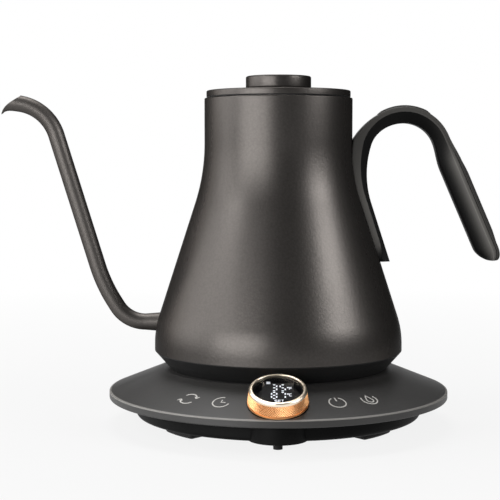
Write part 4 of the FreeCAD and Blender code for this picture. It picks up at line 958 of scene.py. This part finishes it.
def handle_plastic():
    """Glass-filled plastic, satin, with painted shade set per point: a painted highlight on the ridge, and
    the inner face painted darkest and made duller.
    """
    finish, pebbles, clouds = grained("handle_black", gloss=0.08, grain=0.3 * MM, depth=0.008 * MM)
    painted_shade = finish.node("ShaderNodeAttribute", {"attribute_name": "painted_shade"}, out="Fac")
    ridge_highlight = finish.mix(0.5 * clouds + 0.5 * pebbles, shade(98, 96, 93), shade(108, 106, 103))
    # Painted shade and highlight: the colour runs from near black on the inner face to the lit colour of the
    # ridge.
    finish.wire("Base Color", finish.mix((1.0 - painted_shade) * (1.0 - painted_shade), shade(9, 9, 9), ridge_highlight))
    finish.wire("Roughness", 0.34 + 0.1 * clouds + 0.14 * painted_shade)
    return finish


# Painted shade along half a ring, from the edge of the back to the edge of the inner face: 0 is the painted
# highlight on the ridge, 1 the darkest painted shade.
ARCH_PAINTED_SHADES = [0.44] * 10 + [0.72] + [1.0] * 7
GRIP_PAINTED_SHADES = [0.6] * 5 + [0.45, 0.8, 0.35, 0.15] + [0.0] * 3 + [0.1] + [1.0] * 5
arm = []
painted_shades = []


def add_ring(ring, ridge_highlight, foot_shade=0.0):
    """Adds a ring to the handle, with painted shade between its arch's and its grip's, painted darker towards
    the strap's foot and paler along the strap and bend.
    """
    half = [between(between(arch, grip, ridge_highlight), 1.0, foot_shade) for arch, grip in zip(ARCH_PAINTED_SHADES, GRIP_PAINTED_SHADES)]
    arm.append(ring)
    painted_shades.extend(half + half[::-1])


# The strap is painted darker at its foot, as painted shade, and paler above it and along the bend, as painted
# light where the shell shades it.
for share in shares(STRAP_RINGS)[:-1]:
    fade = ease(min(1.0, strap_long * share / FADE_LONG))
    ring = handle_ring(strap_start + wall_up * (strap_long * share), wall_up, strap_reach,
                       between(STRAP_FOOT_CREASE, STRAP_CREASE, fade), STRAP_HALF, STRAP_FLAT)
    if share == 0:
        strap_way = Vector((wall_up.x, 0.0, wall_up.y)) / wall_up.y
        ring = [end + strap_way * (STRAP_FOOT_Z - end.z) for end in ring]
    add_ring(ring, ridge_highlight=0.0, foot_shade=1 - (1 + STRAP_PAINTED_PALER) * fade)
for share in shares(BEND_RINGS):
    spot, along = on_turn(bend_mid, BEND_R, between(math.pi + flare, bend_turn, share))
    ring = handle_ring(spot, along, between(strap_reach, wall_reach, share),
                       between(STRAP_CREASE, ARCH_CREASE, share), between(STRAP_HALF, BEND_INNER, share),
                       between(STRAP_FLAT, GRIP_FLAT, share))
    add_ring(ring, ridge_highlight=0.0, foot_shade=STRAP_PAINTED_PALER * (share - 1))
for share in shares(ARCH_RINGS, first=1):
    turn = between(bend_turn, GRIP_LEAN, share)
    spot, along = on_turn(arch_mid, ARCH_R, turn)
    lead = min(1.0, (bend_turn - turn) / LEAD_TURN)
    turned = ease(max(0.0, 2 * share - 1))
    ring = handle_ring(spot, along, between(ARCH_HALF, wall_reach, (1 - lead) ** 2), ARCH_CREASE,
                       between(BEND_INNER, ARCH_HALF, ease(min(1.0, INNER_LEAD * share))),
                       soft=ARCH_SOFT * turned)
    add_ring(ring, ridge_highlight=ARCH_RIDGE_HIGHLIGHT * turned)
downs = [GRIP_SWELL * share for share in shares(SWELL_RINGS, first=1)]
downs += [between(GRIP_SWELL, grip_straight, share) for share in shares(GRIP_RINGS, first=1)]
for down in downs:
    swell = ease(min(1.0, down / GRIP_SWELL))
    ring = handle_ring(grip_top + grip_way * down, grip_way, between(ARCH_HALF, grip_back, swell),
                       between(ARCH_CREASE, GRIP_CREASE, swell), between(ARCH_HALF, GRIP_HALF, swell),
                       groove=GROOVE_DEEP * swell, soft=between(ARCH_SOFT, 1.0, swell))
    add_ring(slanted(ring, down), ridge_highlight=between(ARCH_RIDGE_HIGHLIGHT, 1.0, swell))
for share in shares(NOSE_RINGS, first=1):
    turn = NOSE_TURN * share
    depth = math.cos(turn)
    breadth = (1 + depth) / 2
    down = grip_straight + GRIP_NOSE * math.sin(turn) / math.sin(NOSE_TURN)
    ring = handle_ring(grip_top + grip_way * down, grip_way, grip_back * between(NOSE_BLUNT, 1.0, depth),
                       GRIP_CREASE * depth, GRIP_HALF * depth, GRIP_FLAT * breadth, HANDLE_HALF * breadth,
                       groove=GROOVE_DEEP * (1 - share), soft=depth)
    add_ring(slanted(ring, down), ridge_highlight=1.0)
arm_piece = skinned("handle_moulding", arm, handle_plastic(), crease=26.0, painted_shades=painted_shades)
seat(arm_piece, "kettle", "black_moulding", "handle_arm")
dress(steel, "handle_bosses", "handle_screws")

# Handle trim: a thumb rest over the arch and a strip down the back of the grip.
# Soft-touch plastic, pressed into place so that each stands a little proud of the handle.
PAD_HALF = 7.5 * MM
PAD_EDGE = 0.45 * MM
REST_TURN = 32
REST_RINGS = 32
REST_RAMP = 10
REST_END = 0.4
REST_LIFT = 0.03 * MM
STRIP_DOWN = 13.0 * MM
STRIP_END = 8.7 * MM
STRIP_RINGS = 20
STRIP_RAMP = 12.0 * MM
STRIP_TAIL = 0.2
STRIP_LEAST = 0.12
STRIP_SINK = 0.2 * MM


def pad_ring(spot, out, thick):
    """One ring across a pad: a low strip with rounded upper edges."""
    edge = min(PAD_EDGE, thick / 2)
    corners = [(0.0, -PAD_HALF), (thick, -PAD_HALF, edge), (thick, PAD_HALF, edge), (0.0, PAD_HALF)]
    ring = []
    for height, across in rounded(corners, steps=3):
        place = spot + out * height
        ring.append(Vector((place.x, across, place.y)))
    return ring


soft_touch = moulded("soft_touch", shade(52, 51, 50), 0.5, grain=0.3 * MM, depth=0.012 * MM, gloss=0.2)
rest_rings = []
for share in shares(REST_RINGS):
    turn = math.radians(between(90 + REST_TURN, 90 - REST_TURN, share))
    out = Vector((math.cos(turn), math.sin(turn)))
    rise = ease(min(1.0, REST_RAMP * share, REST_RAMP * (1 - share)))
    thick = PAD_THICK * between(REST_END, 1.0, rise) - REST_LIFT
    rest_rings.append(pad_ring(arch_mid + out * (ARCH_R + ARCH_HALF + REST_LIFT), out, thick))
seat(skinned("thumb_pad", rest_rings, soft_touch), "kettle", "rubber", "thumb_rest")
strip_rings = []
strip_long = GRIP_LONG - STRIP_END - STRIP_DOWN
for share in shares(STRIP_RINGS):
    along = strip_long * share
    down = STRIP_DOWN + along
    back = between(ARCH_HALF, grip_back, ease(min(1.0, down / GRIP_SWELL))) - STRIP_SINK
    rise = ease(min(1.0, along / STRIP_RAMP, (strip_long - along) / STRIP_RAMP + STRIP_TAIL))
    thick = PAD_THICK * max(STRIP_LEAST, rise) + STRIP_SINK
    strip_rings.append(pad_ring(grip_top + grip_way * down + back_way * back, back_way, thick))
seat(skinned("grip_strip", strip_rings, soft_touch), "kettle", "black_moulding", "handle_cover")

# Lid: a flat cover with a turned-down edge over a liner plug, and a low round knob on a spacer.
# Pressed steel, coated like the shell; under its edge a thin black rubber ring is painted shadow, dark where
# the gap to the rim is in shade.
# The liner is bare steel with a silicone seal, and one screw holds all.
lid_low, lid_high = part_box("lid_cover")
knob_low, knob_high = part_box("lid_knob")
LID_SHEET = 1.2 * MM
LID_EDGE = 0.7 * MM
SHADOW_RING_TALL = 0.65 * MM
SHADOW_RING_LAP = 0.3 * MM
SHADOW_RING_BACK = 0.2 * MM
SHADOW_RING_EDGE = 0.15 * MM
KNOB_LOW_EDGE = 1.5 * MM
KNOB_TOP_EDGE = 1.1 * MM
shadow_ring_top = lid_low.z + SHADOW_RING_LAP
shadow_ring_low = shadow_ring_top - SHADOW_RING_TALL
shadow_ring_out = lid_high.x - SHADOW_RING_BACK
lid_in = lid_high.x - LID_SHEET
cover = spun("lid_disc", rounded([
    (0.0, lid_high.z), (lid_high.x, lid_high.z, LID_EDGE), (lid_high.x, shadow_ring_top), (lid_in, shadow_ring_top),
    (lid_in, lid_high.z - LID_SHEET), (0.0, lid_high.z - LID_SHEET),
]), gunmetal)
seat(cover, "lid", "gunmetal_coat", "lid_cover")
# Painted shadow: a thin black ring under the lid's edge stands for the shaded gap where the lid meets the
# rim.
shadow_ring = spun("lid_shadow_ring", rounded([
    (lid_in, shadow_ring_low), (shadow_ring_out, shadow_ring_low, SHADOW_RING_EDGE),
    (shadow_ring_out, shadow_ring_top), (lid_in, shadow_ring_top),
]), rubber)
seat(shadow_ring, "lid", "rubber")
knob = spun("lid_grip", rounded([
    (0.0, knob_low.z), (knob_high.x, knob_low.z, KNOB_LOW_EDGE),
    (knob_high.x, knob_high.z, KNOB_TOP_EDGE), (0.0, knob_high.z),
]), gunmetal)
seat(knob, "lid", "gunmetal_coat", "lid_knob")
dress(black_moulding, "knob_spacer")
dress(steel, "lid_liner", "knob_screw")
dress(silicone, "lid_seal")

# Studio: a pale floor, a white backdrop, soft boxes at the left, the right and above, and a dim grey room.
# Where they are seen, straight or in gloss, they are white, and the floor keeps the kettle's soft shadow.
# Black cards round the set, which only gloss and glass see, give the metal its dark parts.
KETTLE_MID = Vector((0.0, 0.0, 0.1))
WHITE = (1.0, 1.0, 1.0, 1.0)
PAPER_GREY = (0.3, 0.3, 0.3, 1.0)
ROOM_GREY = (0.1, 0.1, 0.1, 1.0)
CARD_BLACK = (0.01, 0.01, 0.01, 1.0)
FLOOR_Z = -0.0002
FLOOR_HALF = 6.0
SHADOW_SHARE = 0.16
SHADOW_REACH = 0.8
SET_HALF = 3.0
SET_TALL = 4.0
BACKDROP_Y = 2.5
BACKDROP_LOW = -0.1
BACK_CARD_Y = 2.45
BACK_CARD_TALL = 2.5
FLOOR_CARD_Y = -0.5
WING_CARD_Y = 0.75
WING_CARD_TALL = 2.0
CARD_END_Y = 2.4
CARDS_ASIDE = (0.36, 0.7, 0.9, SET_HALF)


def direct(tree):
    """1 on what the camera sees, straight or in gloss or glass, and 0 on what only lights."""
    rays = tree.node("ShaderNodeLightPath").socket.node.outputs
    seen = [Wire(tree, rays[name]) for name in ("Is Camera Ray", "Is Glossy Ray", "Is Transmission Ray")]
    return seen[0] + seen[1] + seen[2]


def lying(height, *spots):
    """The corners of a level sheet."""
    return [(*spot, height) for spot in spots]


def standing(start, end, low, high):
    """The corners of a sheet that stands over a line on the floor."""
    return [(*start, low), (*end, low), (*end, high), (*start, high)]


def sheet(name, finish, corners):
    """A flat sheet of the studio, which isn't part of the kettle."""
    mesh = bpy.data.meshes.new(name)
    mesh.from_pydata(corners, [], [(0, 1, 2, 3)])
    mesh.materials.append(finish.material)
    flat = put(name, mesh)
    return flat


def paper(name, corners, shadow):
    """Paper that is lit, brightened to white where it is seen, but for a share of the shadow."""
    finish = Finish(name, {"Base Color": PAPER_GREY, "Roughness": 0.9, "Specular IOR Level": 0.0})
    away = finish.node("ShaderNodeVectorMath", {"operation": "LENGTH"}, {0: finish.spot()}, out="Value")
    lit_share = shadow * (1.0 - away.math("MINIMUM", away / SHADOW_REACH, 1.0))
    glow = finish.node("ShaderNodeEmission", values={"Color": WHITE, "Strength": 1.0})
    lit = Wire(finish, finish.surface.outputs["BSDF"])
    white_share = direct(finish) * (1.0 - lit_share)
    both = finish.node("ShaderNodeMixShader", values={0: white_share, 1: lit, 2: glow})
    finish.feed(finish.tree.nodes["Material Output"].inputs["Surface"], both)
    sheet(name, finish, corners)


def dark_card(name, corners):
    """A black card that only gloss and glass see."""
    finish = Finish(name, {"Base Color": CARD_BLACK, "Roughness": 1.0, "Specular IOR Level": 0.0})
    card = sheet(name, finish, corners)
    card.visible_camera = False
    card.visible_diffuse = False
    card.visible_shadow = False


def aim(thing, spot, way):
    """Stands a lamp or the camera on a spot, facing that way."""
    thing.location = spot
    thing.rotation_euler = Vector(way).to_track_quat("-Z", "Y").to_euler()


def lamp(name, spot, wide, tall, power):
    """A soft box that faces the kettle."""
    light = bpy.data.lights.new(name, "AREA")
    light.shape = "RECTANGLE"
    light.size = wide
    light.size_y = tall
    light.energy = power
    aim(put(name, light), spot, KETTLE_MID - Vector(spot))


paper("floor", lying(
    FLOOR_Z, (-FLOOR_HALF, -FLOOR_HALF), (FLOOR_HALF, -FLOOR_HALF), (FLOOR_HALF, FLOOR_HALF),
    (-FLOOR_HALF, FLOOR_HALF),
), SHADOW_SHARE)
paper("backdrop", standing((-SET_HALF, BACKDROP_Y), (SET_HALF, BACKDROP_Y), BACKDROP_LOW, SET_TALL), 0.0)
for side in (-1, 1):
    near, mid, wing, far = [side * aside for aside in CARDS_ASIDE]
    dark_card("back_card", standing((mid, BACK_CARD_Y), (far, BACK_CARD_Y), 0.0, BACK_CARD_TALL))
    dark_card("floor_card", lying(
        0.0, (near, FLOOR_CARD_Y), (mid, CARD_END_Y), (far, CARD_END_Y), (far, FLOOR_CARD_Y),
    ))
    dark_card("wing_card", standing((wing, WING_CARD_Y), (wing, CARD_END_Y), 0.0, WING_CARD_TALL))
    dark_card("side_card", standing((far, -SET_HALF), (far, CARD_END_Y), 0.0, SET_TALL))
dark_card("front_card", standing((-SET_HALF, -SET_HALF), (SET_HALF, -SET_HALF), 0.0, SET_TALL))
dark_card("top_card", lying(
    SET_TALL, (-SET_HALF, -SET_HALF), (SET_HALF, -SET_HALF), (SET_HALF, CARD_END_Y), (-SET_HALF, CARD_END_Y),
))
lamp("key_lamp", (-1.0, -1.32, 0.3), wide=1.4, tall=0.7, power=27)
lamp("left_lamp", (-1.55, 0.13, 0.45), wide=1.5, tall=0.8, power=17)
lamp("high_lamp", (-1.3, -0.5, 1.2), wide=0.8, tall=0.7, power=18)
lamp("side_lamp", (1.42, -0.7, 0.8), wide=0.8, tall=0.45, power=19)
lamp("top_lamp", (-0.12, 0.32, 1.5), wide=0.7, tall=0.7, power=20)
room = bpy.data.worlds.new("room")
room.use_nodes = True
walls = Tree(room.node_tree)
wall_colour = walls.mix(direct(walls), ROOM_GREY, WHITE)
walls.feed(room.node_tree.nodes["Background"].inputs["Color"], wall_colour)
bpy.context.scene.world = room

# Camera: a long lens three quarters of a metre in front, level with the upper part of the kettle.
# It looks a little down and to the left, so that the kettle stands in the frame as in the photograph.
CAMERA_SPOT = (0.0, -765.0 * MM, 157.8 * MM)
CAMERA_WAY = (-28.2, 1275.0, -91.0)
LENS_LONG = 92.06
lens = bpy.data.cameras.new("camera")
lens.lens = LENS_LONG
camera = put("camera", lens)
aim(camera, CAMERA_SPOT, CAMERA_WAY)
bpy.context.scene.camera = camera
bpy.context.scene.view_settings.view_transform = "Standard"
